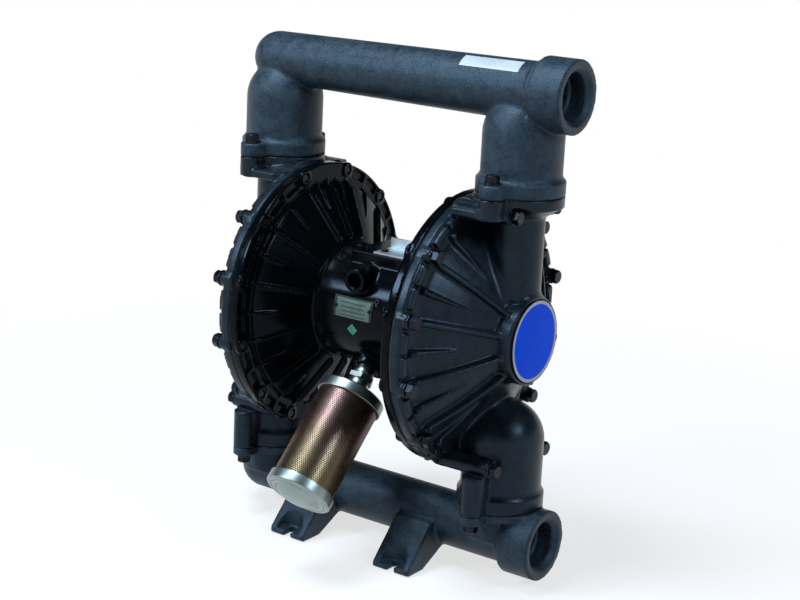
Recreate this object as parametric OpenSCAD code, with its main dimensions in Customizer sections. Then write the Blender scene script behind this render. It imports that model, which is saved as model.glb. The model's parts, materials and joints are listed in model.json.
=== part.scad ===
// Air-operated double-diaphragm pump with two-inch fluid ports.
// X is the diaphragm axis and the ports open towards +X. -Y is the front, with
// the air inlet and the muffler. Z is up. The origin lies on the floor, at the
// centre of the four foot slots. All sizes are in millimetres.

/* [Layout] */
// Height of the inlet tube's axis over the floor
inlet_tube_z = 56; // [54:0.5:58]
// Rise of the inlet joint over the inlet tube's axis
inlet_rise = 43; // [41:0.5:46]
// Clearance between the inlet joint and the covers' rims
low_rim_clear = 44; // [42:0.5:48]
// Clearance between the covers' rims and the outlet joint
top_rim_clear = 7; // [6:0.5:12]
// Rise of the outlet legs' round tops over the outlet joint
leg_rise = 73; // [70:0.5:76]
// Rise of the outlet tube's axis over the legs' round tops
tube_rise = 52; // [48:0.5:56]
// Distance of the necks and manifold legs from the middle
leg_x = 187.4; // [185:0.1:190]

/* [Cover rims and bolts] */
// Distance of the bolt circle from the rims' edge
bolt_inset = 8; // [7:0.5:9]
// Width of the rims from their edge to the dome's root
rim_band = 27; // [25:0.5:28]
// Distance of the diaphragms' edge from the rims' edge
diaphragm_inset = 14; // [13.6:0.1:15]
// Radial width of the bars on the rims between the bolts
rim_bar_w = 10; // [8:0.5:11]
// Distance of the joint between fluid cover and air cover from the middle
joint_x = 126; // [124:0.5:130]
// Outer radius of the cover rims
rim_r = 177; // [175:0.5:180]
// Thickness of the fluid cover's rim
rim_t = 13.5; // [12:0.5:15]
// Thickness of the air cover's rim
air_rim_t = 13; // [11:0.5:15]
// Angle between neighbouring side bolts
side_bolt_step = 28.8; // [27:0.1:29.5]
// Angle of the bolts beside the upper neck from the vertical
top_bolt_angle = 15.5; // [15:0.1:16]
// Angle of the bolts beside the lower neck from the vertical
bottom_bolt_angle = 20.5; // [20:0.1:22]
// Radius of a cover or manifold bolt
bolt_r = 5; // [4.5:0.1:5.2]
// Gap round a bolt in its hole
bolt_gap = 0.3; // [0.2:0.05:0.5]
// Height of a short bolt boss over the rim
bolt_boss_h = 7; // [6:0.5:9]
// Radius of a bolt boss
bolt_boss_r = 10; // [9.5:0.1:10.5]
// Distance of the seats of the eight long bolts from the middle
long_boss_x = 207; // [203:0.5:210]

/* [Fluid covers] */
// Wall of the fluid covers
cover_wall = 7; // [5.5:0.5:8]
// Height that the dome would have at its centre
dome_h = 76; // [72:0.5:80]
// Radius of the round boss in the middle of the dome
hub_boss_r = 57; // [55:0.5:60]
// Distance of that boss's face from the middle of the pump
hub_boss_x = 221; // [219:0.5:226]
// Thickness of the cover's ribs
rib_t = 7; // [6:0.5:8]
// Height of the cover's ribs over the dome
rib_h = 11; // [9:0.5:12]
// Inner end of the short ribs, as a radius
short_rib_r = 95; // [90:1:105]
// Outer radius of the upper neck
neck_r = 34; // [33:0.5:36]
// Radius of the passage in the upper neck
neck_bore_r = 25; // [23:0.5:26]
// Outer radius of the ball chamber under the dome
chamber_r = 52; // [51:0.5:53]

/* [Neck flanges] */
// Rise of the ball chambers' round tops over the inlet joint
chamber_rise = 86; // [81:1:91]
// Radius of the neck and leg flanges
flange_r = 56; // [55:0.5:57]
// Thickness of the fluid cover's upper flange
upper_flange_t = 15; // [13:0.5:16]
// Thickness of the fluid cover's lower flange
lower_flange_t = 19; // [17:0.5:21]
// Distance of the two flange bolts from the neck's axis, to front and rear
lug_y = 66; // [65.5:0.5:68]
// Radius of the flange lugs
lug_r = 15; // [14:0.5:15.5]
// Height of the upper lugs of the fluid covers
upper_lug_h = 25.5; // [24:0.5:27]
// Height of the lower lugs of the fluid covers
lower_lug_h = 52; // [46:1:54]

/* [Outlet manifold] */
// Outer radius of the manifold legs
leg_r = 51; // [50:0.5:52]
// Radius of the ball chambers in the legs and in the fluid covers
ball_bore_r = 45; // [44:0.5:46]
// Height of the leg flanges
leg_flange_h = 18; // [16:0.5:20]
// Outer radius of the outlet tube at its closed end
outlet_tube_r = 34.2; // [33:0.1:36]
// How much wider the outlet tube is at its open end
outlet_tube_flare = 3.3; // [2:0.1:4]

/* [Inlet manifold] */
// Outer radius of the inlet tube
inlet_tube_r = 36; // [35:0.1:37]
// Thickness of the inlet manifold's flanges
inlet_flange_t = 11; // [10:0.5:12]
// Outer radius of the short risers under those flanges
riser_r = 41; // [40:0.5:43]

/* [Fluid ports] */
// Distance of the port faces from the middle
port_face_x = 258.5; // [256:0.5:262]
// Length of a port collar
collar_l = 45; // [42:0.5:47]
// Outer radius of a port collar
collar_r = 45.7; // [45:0.1:47]
// Radius of the port thread
port_thread_r = 29; // [28.5:0.1:29.5]
// Depth of the port thread
port_thread_l = 28; // [25:0.5:32]
// Radius of the passage in both manifolds
passage_r = 26; // [25:0.5:27]

/* [Feet] */
// Distance of the feet from the middle
foot_x = 86; // [84:0.5:90]
// Width of a foot
foot_w = 56; // [54:0.5:58]
// Distance of the toes from the middle, to front and rear
toe_y = 94; // [93:0.5:97]
// Distance of the bolt places in the foot slots from the middle
slot_y = 79; // [78:0.5:80]
// Width of the foot slots
slot_w = 11; // [10:0.5:12]
// Thickness of the floor of a foot
foot_t = 8; // [7:0.5:10]
// Radius of the arch over the foot slot
arch_r = 19; // [17:0.5:20]
// Distance of the top edge of the foot's slope from the middle
slope_y = 46; // [43:0.5:50]
// Height of the top edge of the foot's slope
slope_z = 60; // [57:0.5:63]

/* [Check valves] */
// Radius of the check balls
ball_r = 32; // [31:0.1:32.5]
// Lift of the check balls
ball_lift = 14; // [10:0.5:15]
// Height of a ball seat
seat_h = 14; // [13:0.5:16]
// Radius of the hole in a ball seat
seat_hole_r = 20; // [19:0.5:21]
// Gap between ball and seat, and between ball and guides
ball_gap = 0.3; // [0.25:0.05:0.4]
// Gap round a seat in its pocket
seat_gap = 0.2; // [0.1:0.05:0.3]
// Width of the ball guides
guide_w = 7; // [5:0.5:9]

/* [Air covers] */
// Distance from the rims' edge at which the cone would meet the rim's face
air_cone_inset = 17; // [15:0.5:19]
// Inner radius of the short ribs on the cone
air_short_rib_r = 118; // [112:1:124]
// Depth of the pockets in the rim
air_pocket_d = 4; // [3:0.5:5]
// Wall of the air covers
air_wall = 7; // [6:0.5:8]
// Radius of the air cover's hub
air_hub_r = 80; // [79:0.5:82]
// Radius of the opening in the air cover's hub
air_hub_hole_r = 42; // [40:0.5:44]
// Height of the air cover's ribs
air_rib_h = 7; // [5:0.5:8]
// Radius of the circle of hub screws
hub_screw_circle_r = 62; // [60:0.5:64]
// Number of hub screws on each side
hub_screws = 6; // [5:1:8]

/* [Centre housing] */
// Rise of the top block over the housing's round body
top_pad_rise = 3; // [2:0.5:5]
// Width of the top block
top_block_w = 92; // [88:0.5:96]
// Depth of the top block
top_block_d = 84; // [80:0.5:86]
// Length of the exhaust boss outside the housing's round body
exhaust_boss_l = 12; // [10:0.5:14]
// Half the length of the centre housing
housing_x = 63; // [62:0.5:64]
// Radius of the centre housing
housing_r = 78; // [76:0.5:79]
// Radius of the exhaust hollow round the shaft
housing_hollow_r = 40; // [38:0.5:41]
// Half the length of the exhaust hollow
housing_hollow_x = 17; // [16:0.5:17.5]
// Height of the air inlet over the diaphragm axis
air_inlet_dz = 51; // [50.5:0.5:54]
// Distance of the air inlet's face from the middle
air_inlet_y = 82; // [80:0.5:86]
// Outer radius of the air inlet boss
air_inlet_r = 16; // [15:0.5:18]
// Radius of the air inlet thread
air_thread_r = 9.4; // [9.2:0.1:9.6]
// Depth of the air inlet thread
air_thread_l = 18; // [16:0.5:22]
// Distance of the rear mounting face of the air valve from the middle
valve_face_y = 72; // [70:0.5:74]

/* [Shaft and diaphragms] */
// Height of the diaphragms' moulded wave
wave_h = 13; // [11:0.5:14]
// Half the width of the diaphragms' moulded wave
wave_w = 14; // [12:0.5:15]
// Radius of the diaphragm shaft
shaft_r = 12.5; // [12:0.1:13]
// Running gap of the shaft in its bearings
shaft_gap = 0.05; // [0.02:0.01:0.08]
// Stroke of the diaphragms to each side
stroke = 20; // [16:0.5:20]
// Length of a shaft bearing
bearing_l = 20; // [16:0.5:22]
// Wall of a shaft bearing
bearing_t = 3; // [2.5:0.1:4]
// Distance of the diaphragms' inner face from the middle
diaphragm_x = 112; // [111:0.5:113]
// Thickness of a diaphragm
diaphragm_t = 4.5; // [4:0.1:5]
// Radius of the diaphragm plates
plate_r = 72; // [68:0.5:73]
// Thickness of the air-side plates
air_plate_t = 12; // [11:0.5:13]
// Thickness of the fluid-side plates
fluid_plate_t = 12; // [10:0.5:13]
// Radius of a shaft bolt
shaft_bolt_r = 8; // [7:0.1:8.5]
// Gap round a diaphragm between its clamping faces
clamp_gap = 0.1; // [0.05:0.05:0.2]

/* [Air valve] */
// Width of the valve block
valve_block_w = 74; // [70:0.5:76]
// Height of the room inside the valve cover
valve_room_h = 60; // [56:0.5:62]
// Thickness of the valve cover's flange
valve_flange_t = 16; // [14:0.5:17]
// Length of the valve cover's screws under their heads
valve_screw_l = 31; // [28:0.5:32]
// Half the width of the valve cover
valve_cover_x = 54; // [52:0.5:56]
// Half the height of the valve cover
valve_cover_z = 50; // [48:0.5:52]
// Distance of the valve cover's back from the middle
valve_cover_y = 134; // [133:0.5:138]
// Thickness of the valve gasket
valve_gasket_t = 1.5; // [1:0.1:2]
// Thickness of the valve block
valve_block_t = 13; // [12:0.5:14]
// Thickness of the valve plate
valve_plate_t = 4; // [3:0.5:5]
// Radius of the valve pistons
piston_r = 18; // [17:0.5:18.5]
// Gap round a valve piston in its bore
piston_gap = 0.08; // [0.05:0.01:0.1]
// Travel of the valve pistons to each side
piston_travel = 7; // [5:0.5:8]
// Radius of a pilot pin
pilot_r = 4; // [3.5:0.1:4.5]
// Travel of a pilot pin
pilot_travel = 4; // [3:0.5:4]
// Distance of the pilot pins from the shaft's axis
pilot_offset = 30; // [29:0.5:31]

/* [Muffler] */
// Distance of the muffler's top cap from the exhaust boss
muffler_gap = 35; // [33:0.5:40]
// Angle of the muffler below the horizontal
muffler_angle = 45; // [43:0.5:47]
// Sideways place of the muffler
muffler_x = 5; // [0:0.5:6]
// Distance of the muffler's axis from the diaphragm axis
muffler_offset = 13.3; // [10:0.1:15]
// Length of the muffler over its caps
muffler_l = 156; // [150:0.5:162]
// Outer radius of the perforated body
muffler_r = 41.5; // [40:0.1:43]
// Thickness of the perforated sheet
muffler_sheet_t = 1.2; // [1:0.1:1.5]
// Height of the muffler caps' skirts
cap_h = 15; // [12:0.5:17]
// Thickness of the muffler caps
cap_t = 2; // [1.6:0.1:2.5]
// Radius of the pipe nipple
nipple_r = 13.3; // [13:0.1:13.6]
// Radius of the bore of the pipe nipple
nipple_bore_r = 10; // [9:0.1:10.5]

/* [Trim] */
// Radius of the label disc
disc_r = 53.8; // [52:0.1:54.5]
// Thickness of the label disc
disc_t = 2.5; // [2:0.1:3]
// Length of the name plate
name_plate_l = 61; // [58:0.5:63]
// Height of the name plate
name_plate_h = 27; // [25:0.5:29]
// Width of the bracket on top of the housing
bracket_w = 54; // [50:0.5:56]

/* [Hidden] */
$fn = 72;

// Heights from the floor upwards, and radii from the rim inwards
inlet_joint_z = inlet_tube_z + inlet_rise;
pump_z = inlet_joint_z + low_rim_clear + rim_r;
outlet_joint_z = pump_z + rim_r + top_rim_clear;
leg_dome_z = outlet_joint_z + leg_rise;
outlet_tube_z = leg_dome_z + tube_rise;
chamber_top_z = inlet_joint_z + chamber_rise;
bolt_circle_r = rim_r - bolt_inset;
dome_root_r = rim_r - rim_band;
diaphragm_r = rim_r - diaphragm_inset;
air_cone_r = rim_r - air_cone_inset;
top_pad_dz = housing_r + top_pad_rise;

// Angles of one side's cover bolts from the vertical, from top to bottom
side_angles = [for (i = [0:3]) 90 + side_bolt_step * (i - 1.5)];
long_angles = [top_bolt_angle, 180 - bottom_bolt_angle];
half_angles = concat([long_angles[0]], side_angles, [long_angles[1]]);
bolt_hole_r = bolt_r + bolt_gap;
rim_face_x = joint_x + rim_t;
bolt_seat_x = rim_face_x + bolt_boss_h;
// Face of the tapped bosses on the air covers
air_boss_x = joint_x - air_rim_t - 2;
head_h = 9;
washer_t = 2.5;
washer_r = 10.5;
hex_r = 9.24;
// Radial gap of a screw in its tapped hole
tap_gap = 0.05;
// Cones and domes are revolved from short chords
dome_steps = 6;
rib_root = 3;
// Angle that stays free on each side of a bolt
bolt_clear_angle = 5;
lug_w = 2 * lug_r;
// Length of the manifold bolts' thread in the covers
lug_tap_l = 20;
lower_tap_l = 32;
neck_start_z = pump_z + disc_r + 1;
guide_r = ball_r + ball_gap;
// A ball rests on a 45 degree cone, so it touches at sin 45 of its radius
seat_cone_h = 6;
ball_rest_h = seat_h - seat_cone_h - seat_hole_r + (ball_r + ball_gap) * sqrt(2);
outlet_flange_z = outlet_joint_z + leg_flange_h;
hub_in_x = housing_x + air_wall;
air_groove_x = joint_x - diaphragm_t - 2 * clamp_gap;
fluid_plate_x = diaphragm_x + diaphragm_t + 2 * clamp_gap;
air_plate_x = diaphragm_x - air_plate_t;
screw_r = 3;
block_y = valve_face_y + valve_gasket_t;
plate_y = block_y + valve_block_t;
carriage_y = plate_y + valve_plate_t;
carriage_h = 10;
piston_y = carriage_y + carriage_h + 9.5;
rod_r = 10;
piston_w = 12;
plug_l = 8;
valve_bore_l = valve_cover_x - plug_l;
pilot_tip_x = air_plate_x - stroke - 0.4;
pilot_bush_l = 20;
exhaust_face = housing_r + exhaust_boss_l;
exhaust_thread_l = 20;
muffler_start = exhaust_face + muffler_gap;
muffler_end = muffler_start + muffler_l;
cap_r = muffler_r + cap_t + 1;

// Distance of the dome's surface from the middle of the pump at a radius
function dome_x(r) = rim_face_x + dome_h * (1 - pow(min(r, dome_root_r) / dome_root_r, 1.6));
// Distance of the air cover's outer cone from the middle at a radius
function cone_x(r) = housing_x + 4
    + (r - air_hub_r) * (joint_x - air_rim_t - housing_x - 4) / (air_cone_r - air_hub_r);
function steps(a, b, n) = [for (i = [0:n]) a + (b - a) * i / n];

module both_ends() {
    children();
    mirror([1, 0, 0]) children();
}

module front_and_rear() {
    children();
    mirror([0, 1, 0]) children();
}

// Turns the Z axis of what is drawn onto the diaphragm axis
module about_pump() {
    translate([0, 0, pump_z]) rotate([0, 90, 0]) children();
}

// Puts what is drawn along +X at an angle from the vertical and a radius
module at_angle(a, r) {
    translate([0, 0, pump_z]) rotate([a, 0, 0]) translate([0, 0, r]) rotate([0, 90, 0]) children();
}

// An upright fin in the plane of the diaphragm axis, turned to an angle
module fin(a, t, outline) {
    translate([0, 0, pump_z]) rotate([a, 0, 0]) rotate([90, 0, 0])
        linear_extrude(t, center = true) polygon(outline);
}

module at_leg(z) {
    translate([leg_x, 0, z]) children();
}

module tube_shape(r_out, r_in, h) {
    difference() {
        cylinder(r = r_out, h = h);
        translate([0, 0, -1]) cylinder(r = r_in, h = h + 2);
    }
}

// A plate with round corners, drawn in XY and centred
module round_plate(w, d, r, t) {
    linear_extrude(t) {
        square([w - 2 * r, d], center = true);
        square([w, d - 2 * r], center = true);
        for (x = [-1, 1], y = [-1, 1]) translate([x * (w / 2 - r), y * (d / 2 - r)]) circle(r);
    }
}

// Hexagon bolt whose head sits at z = 0 and whose shank runs along -Z
module flange_bolt(shank_l, r) {
    cylinder(r = washer_r, h = washer_t);
    translate([0, 0, washer_t - 0.1]) cylinder(r = hex_r, h = head_h + 0.1, $fn = 6);
    translate([0, 0, -shank_l]) cylinder(r = r, h = shank_l + 0.1);
}

// Flat outline of the two bolt lugs and the bar between them
module lug_outline() {
    for (s = [-1, 1]) translate([0, s * lug_y]) circle(lug_r);
    square([lug_w, 2 * lug_y], center = true);
}

// Flat outline of a neck flange with its lugs
module flange_outline() {
    circle(flange_r);
    lug_outline();
}

module lug_holes(z, h, r) {
    for (s = [-1, 1]) at_leg(z) translate([0, s * lug_y, 0]) cylinder(r = r, h = h);
}

// Fluid covers: dome with ribs, neck, ball chamber and flanges

module cover_shell_outside() {
    dome = [for (r = steps(dome_root_r, hub_boss_r, dome_steps)) [r, dome_x(r)]];
    about_pump() rotate_extrude() polygon(concat(
        [[0, joint_x], [rim_r - 1.5, joint_x], [rim_r, joint_x + 1.5],
         [rim_r, rim_face_x - 2], [rim_r - 2, rim_face_x]],
        dome,
        [[hub_boss_r, hub_boss_x - 2], [hub_boss_r - 2, hub_boss_x], [0, hub_boss_x]]));
}

module cover_shell_inside() {
    edge_r = dome_root_r - cover_wall;
    floor_r = hub_boss_r - 9;
    inside = [for (r = steps(edge_r - 3, floor_r, dome_steps)) [r, dome_x(r + 2) - cover_wall]];
    about_pump() rotate_extrude() polygon(concat(
        [[0, joint_x - 1], [edge_r, joint_x - 1], [edge_r, joint_x + 3]],
        inside,
        [[0, dome_x(floor_r) - cover_wall]]));
}

module cover_full_rib(a) {
    end_r = bolt_circle_r - 7;
    radii = steps(bolt_circle_r - washer_r - 2.5, hub_boss_r - 2, 8);
    top = [for (r = radii) [dome_x(r) + rib_h, r]];
    foot = [for (i = [8:-1:0]) [dome_x(radii[i]) - rib_root, radii[i]]];
    fin(a, rib_t, concat([[bolt_seat_x - 1, end_r], [bolt_seat_x - 1, radii[0] + 1]], top, foot,
        [[rim_face_x - rib_root, end_r]]));
}

module cover_short_rib(a) {
    radii = steps(dome_root_r + 8, short_rib_r, 5);
    top = [for (i = [0:5]) [dome_x(radii[i]) + rib_h * (1 - 0.8 * i / 5), radii[i]]];
    foot = [for (i = [5:-1:0]) [dome_x(radii[i]) - rib_root, radii[i]]];
    intersection() {
        fin(a, rib_t + 1, concat(top, foot));
        at_angle(a, 0) translate([0, 0, joint_x]) linear_extrude(dome_h)
            polygon([[-dome_root_r - 12, -rib_t / 2], [-dome_root_r - 12, rib_t / 2],
                     [1 - short_rib_r, 1], [1 - short_rib_r, -1]]);
    }
}

// Arc along the rim at the bolt circle, with its low end at x0, for bars and pockets
module rim_arc(a0, a1, w, x0, t) {
    translate([0, 0, pump_z]) rotate([a0, 0, 0]) rotate([0, 90, 0]) rotate([0, 0, 180])
        rotate_extrude(angle = a1 - a0) translate([bolt_circle_r - w / 2 - 0.5, x0]) square([w, t]);
}

// Two bars, or two pockets, between neighbouring bolts, with a wall between them
module rim_pair(a0, a1, wall, w, x0, t) {
    middle = (a0 + a1) / 2;
    rim_arc(a0 + bolt_clear_angle, middle - wall / 2, w, x0, t);
    rim_arc(middle + wall / 2, a1 - bolt_clear_angle, w, x0, t);
}

// What is drawn for each pair of neighbouring bolts on both sides
module rim_pairs(wall, w, x0, t) {
    for (i = [0:4]) {
        rim_pair(half_angles[i], half_angles[i + 1], wall, w, x0, t);
        rim_pair(-half_angles[i + 1], -half_angles[i], wall, w, x0, t);
    }
}

// Shelf between the rim and the lugs of the upper flange, over the long bolts
module cover_shelf() {
    edge_y = lug_y + lug_r - 1.5;
    translate([0, 0, outlet_joint_z - upper_lug_h + 0.1])
        linear_extrude(upper_lug_h - upper_flange_t + 0.2)
        polygon([[joint_x + 1, -edge_y + 26], [rim_face_x, -edge_y], [leg_x, -edge_y],
                 [leg_x, edge_y], [rim_face_x, edge_y], [joint_x + 1, edge_y - 26]]);
}

module cover_bosses(holes) {
    r = holes ? bolt_hole_r : bolt_boss_r;
    for (s = [-1, 1]) {
        for (a = side_angles) at_angle(s * a, bolt_circle_r)
            translate([0, 0, joint_x + (holes ? -1 : 2)])
            cylinder(r = r, h = bolt_seat_x - joint_x + (holes ? 2 : -2));
        for (a = long_angles) at_angle(s * a, bolt_circle_r)
            translate([0, 0, joint_x + (holes ? -1 : 2)])
            cylinder(r = r + (holes ? 0 : 1), h = long_boss_x - joint_x + (holes ? 2 : -2));
    }
}

// Web that ties a long bolt's boss to its neck
module boss_web(a, inner_x) {
    y = bolt_circle_r * sin(a);
    z = pump_z + bolt_circle_r * cos(a);
    translate([inner_x, -y, z - 5]) cube([long_boss_x - 3 - inner_x, 2 * y, 10]);
}

module upper_neck_outside() {
    flange_z = outlet_joint_z - upper_flange_t;
    at_leg(neck_start_z) cylinder(r = neck_r, h = outlet_joint_z - neck_start_z - 1);
    at_leg(flange_z) linear_extrude(upper_flange_t) circle(flange_r);
    at_leg(flange_z - 14) cylinder(r1 = neck_r - 1, r2 = flange_r - 0.5, h = 14.2);
    at_leg(outlet_joint_z - upper_lug_h) linear_extrude(upper_lug_h) difference() {
        lug_outline();
        circle(neck_r - 4);
    }
}

module lower_neck_outside() {
    flange_z = inlet_joint_z + lower_flange_t;
    at_leg(inlet_joint_z + 1) cylinder(r = chamber_r, h = chamber_top_z - inlet_joint_z - 1);
    at_leg(chamber_top_z) sphere(chamber_r);
    at_leg(inlet_joint_z) cylinder(r = flange_r, h = lower_flange_t);
    at_leg(flange_z - 0.2) cylinder(r1 = flange_r - 0.5, r2 = chamber_r - 1, h = 6);
    at_leg(inlet_joint_z) linear_extrude(lower_lug_h) difference() {
        lug_outline();
        circle(chamber_r - 4);
    }
}

// Four guides that keep a ball on its axis, drawn from z = 0
module ball_guides(h) {
    for (a = [0:90:270]) rotate([0, 0, a + 45])
        translate([guide_r, -guide_w / 2, 0]) cube([ball_bore_r + 2 - guide_r, guide_w, h]);
}

module fluid_cover() {
    color("#20262e") {
        difference() {
            union() {
                cover_shell_outside();
                for (s = [-1, 1]) {
                    for (a = side_angles) cover_full_rib(s * a);
                    for (i = [0:4]) cover_short_rib(s * (half_angles[i] + half_angles[i + 1]) / 2);
                }
                rim_pairs(1.4, rim_bar_w, rim_face_x - 2, bolt_boss_h + 1);
                cover_shelf();
                cover_bosses(false);
                boss_web(180 - bottom_bolt_angle, leg_x - 20);
                upper_neck_outside();
                lower_neck_outside();
            }
            cover_shell_inside();
            at_leg(neck_start_z - 5) cylinder(r = neck_bore_r, h = outlet_joint_z - neck_start_z + 6);
            at_leg(inlet_joint_z - 1) cylinder(r = ball_bore_r, h = chamber_top_z - inlet_joint_z + 1);
            at_leg(chamber_top_z) sphere(ball_bore_r);
            cover_bosses(true);
            for (s = [-1, 1], a = long_angles) at_angle(s * a, bolt_circle_r)
                translate([0, 0, long_boss_x]) cylinder(r = washer_r + 0.7, h = 30);
            lug_holes(outlet_joint_z - lug_tap_l - 2, lug_tap_l + 3, bolt_r + tap_gap);
            lug_holes(inlet_joint_z - 1, lower_tap_l + 3, bolt_r + tap_gap);
        }
        at_leg(inlet_joint_z + seat_h + 2) ball_guides(chamber_top_z - inlet_joint_z - seat_h - 6);
    }
}

// Manifolds: tube with a threaded port, legs or risers, flanges and feet

// Outline of a manifold's tube, revolved about X, with a closed round end
module manifold_tube(z, r_end, r_open) {
    shoulder_x = port_face_x - collar_l;
    translate([0, 0, z]) rotate([0, 90, 0]) {
        translate([0, 0, -leg_x - 10]) sphere(r_end);
        rotate_extrude() polygon([
            [0, -leg_x - 10], [r_end, -leg_x - 10], [r_open, leg_x],
            [r_open, shoulder_x - 8], [r_open + 2.5, shoulder_x - 7],
            [r_open + 2.5, shoulder_x], [collar_r - 3, shoulder_x],
            [collar_r, shoulder_x + 3], [collar_r, port_face_x - 1.5],
            [collar_r - 1.5, port_face_x], [0, port_face_x]]);
    }
}

module manifold_passage(z) {
    translate([0, 0, z]) rotate([0, 90, 0]) {
        translate([0, 0, -leg_x - 10]) sphere(passage_r);
        translate([0, 0, -leg_x - 10]) cylinder(r = passage_r, h = port_face_x + leg_x);
        translate([0, 0, port_face_x - port_thread_l]) cylinder(r = port_thread_r, h = port_thread_l + 1);
        translate([0, 0, port_face_x - 3])
            cylinder(r1 = port_thread_r, r2 = port_thread_r + 3, h = 3.01);
    }
}

module outlet_manifold() {
    color("#242b34") {
        difference() {
            union() {
                manifold_tube(outlet_tube_z, outlet_tube_r, outlet_tube_r + outlet_tube_flare);
                both_ends() {
                    at_leg(outlet_joint_z + 1) cylinder(r = leg_r, h = leg_dome_z - outlet_joint_z - 1);
                    at_leg(leg_dome_z) sphere(leg_r);
                    at_leg(outlet_joint_z) linear_extrude(leg_flange_h) flange_outline();
                    at_leg(outlet_flange_z - 0.2)
                        cylinder(r1 = flange_r - 0.5, r2 = leg_r - 1, h = 6);
                }
            }
            manifold_passage(outlet_tube_z);
            both_ends() {
                at_leg(outlet_joint_z - 1) cylinder(r = ball_bore_r, h = leg_dome_z - outlet_joint_z + 1);
                at_leg(leg_dome_z) sphere(ball_bore_r);
                lug_holes(outlet_joint_z - 1, leg_flange_h + 2, bolt_hole_r);
                // Flats for the washers of the flange bolts
                for (s = [-1, 1]) at_leg(outlet_flange_z) translate([0, s * lug_y, 0])
                    cylinder(r = washer_r + 1, h = 20);
            }
        }
        both_ends() at_leg(outlet_joint_z + seat_h + 2)
            ball_guides(leg_dome_z - outlet_joint_z - seat_h + 2);
    }
}

// One front foot: a sloped toe with an arch over a slot that is open to the front
module foot() {
    arch_y = slope_y + 44;
    difference() {
        translate([foot_x - foot_w / 2, 0, 0]) rotate([90, 0, 90]) linear_extrude(foot_w)
            polygon([[-toe_y, 0], [-toe_y, foot_t], [-slope_y, slope_z], [-16, slope_z + 4],
                     [0, slope_z + 4], [0, inlet_tube_z - inlet_tube_r + 3],
                     [-12, inlet_tube_z - inlet_tube_r + 2], [-58, 0]]);
        translate([foot_x, -arch_y, foot_t]) cylinder(r = arch_r, h = 60);
        translate([foot_x - arch_r, -arch_y - 30, foot_t]) cube([2 * arch_r, 30, 60]);
        translate([foot_x, -slot_y, -1]) cylinder(r = slot_w / 2, h = foot_t + 2);
        translate([foot_x - slot_w / 2, -toe_y - 5, -1]) cube([slot_w, toe_y + 5 - slot_y, foot_t + 2]);
    }
}

module inlet_manifold() {
    color("#242b34") difference() {
        union() {
            manifold_tube(inlet_tube_z, inlet_tube_r, inlet_tube_r);
            both_ends() {
                at_leg(inlet_tube_z) cylinder(r = riser_r, h = inlet_joint_z - inlet_tube_z - 1);
                at_leg(inlet_joint_z - inlet_flange_t) linear_extrude(inlet_flange_t)
                    flange_outline();
                front_and_rear() foot();
            }
        }
        manifold_passage(inlet_tube_z);
        both_ends() {
            at_leg(inlet_tube_z) cylinder(r = passage_r, h = inlet_joint_z - inlet_tube_z + 1);
            lug_holes(inlet_joint_z - inlet_flange_t - 1, inlet_flange_t + 2, bolt_hole_r);
            at_leg(inlet_joint_z) cylinder(r = flange_r + 0.6, h = 10);
        }
    }
}

// Air covers: ribbed cone between the centre housing and the rim

module air_cover() {
    rim_x = joint_x - air_rim_t;
    groove_r = diaphragm_r + 0.3;
    chamber_edge_r = dome_root_r - cover_wall;
    color("#121418") difference() {
        union() {
            about_pump() rotate_extrude() polygon([
                [air_hub_hole_r, housing_x + 0.5], [air_hub_r - 1, housing_x + 0.5],
                [air_hub_r, housing_x + 1.5], [air_hub_r, cone_x(air_hub_r)],
                [dome_root_r, cone_x(dome_root_r)], [dome_root_r, rim_x],
                [rim_r - 1, rim_x], [rim_r, rim_x + 1], [rim_r, joint_x],
                [groove_r, joint_x], [groove_r, air_groove_x], [chamber_edge_r, air_groove_x],
                [chamber_edge_r, cone_x(chamber_edge_r) + air_wall],
                [air_hub_r - 8, hub_in_x], [air_hub_hole_r, hub_in_x]]);
            for (s = [-1, 1], a = half_angles) {
                fin(s * a, 4, [
                    [cone_x(air_hub_r) + 2, air_hub_r + 1],
                    [cone_x(air_hub_r + 4) - air_rib_h, air_hub_r + 4],
                    [cone_x(dome_root_r - 3) - air_rib_h, dome_root_r - 3],
                    [rim_x + 2, dome_root_r + 5]]);
                at_angle(s * a, bolt_circle_r) translate([0, 0, air_boss_x])
                    cylinder(r = bolt_boss_r, h = rim_x - air_boss_x + 2);
            }
            for (s = [-1, 1], i = [0:4]) fin(s * (half_angles[i] + half_angles[i + 1]) / 2, 3, [
                [cone_x(air_short_rib_r) + 2, air_short_rib_r],
                [cone_x(air_short_rib_r) - 1, air_short_rib_r + 1],
                [cone_x(dome_root_r - 3) - air_rib_h + 2, dome_root_r - 3],
                [rim_x + 2, dome_root_r + 3]]);
        }
        rim_pairs(2.4, rim_bar_w + 4, rim_x - 1, air_pocket_d + 1);
        for (s = [-1, 1], a = half_angles) at_angle(s * a, bolt_circle_r)
            translate([0, 0, air_boss_x - 1]) cylinder(r = bolt_r + tap_gap, h = joint_x - air_boss_x + 2);
        for (i = [0:hub_screws - 1]) at_angle((i + 0.5) * 360 / hub_screws, hub_screw_circle_r)
            translate([0, 0, housing_x - 1]) cylinder(r = screw_r + 0.7, h = air_wall + 4);
    }
}

module hub_gasket() {
    color("#3a3a3c") difference() {
        about_pump() translate([0, 0, housing_x]) tube_shape(housing_r - 1, air_hub_hole_r, 0.5);
        for (i = [0:hub_screws - 1]) at_angle((i + 0.5) * 360 / hub_screws, hub_screw_circle_r)
            translate([0, 0, housing_x - 1]) cylinder(r = screw_r + 0.7, h = 4);
    }
}

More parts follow.
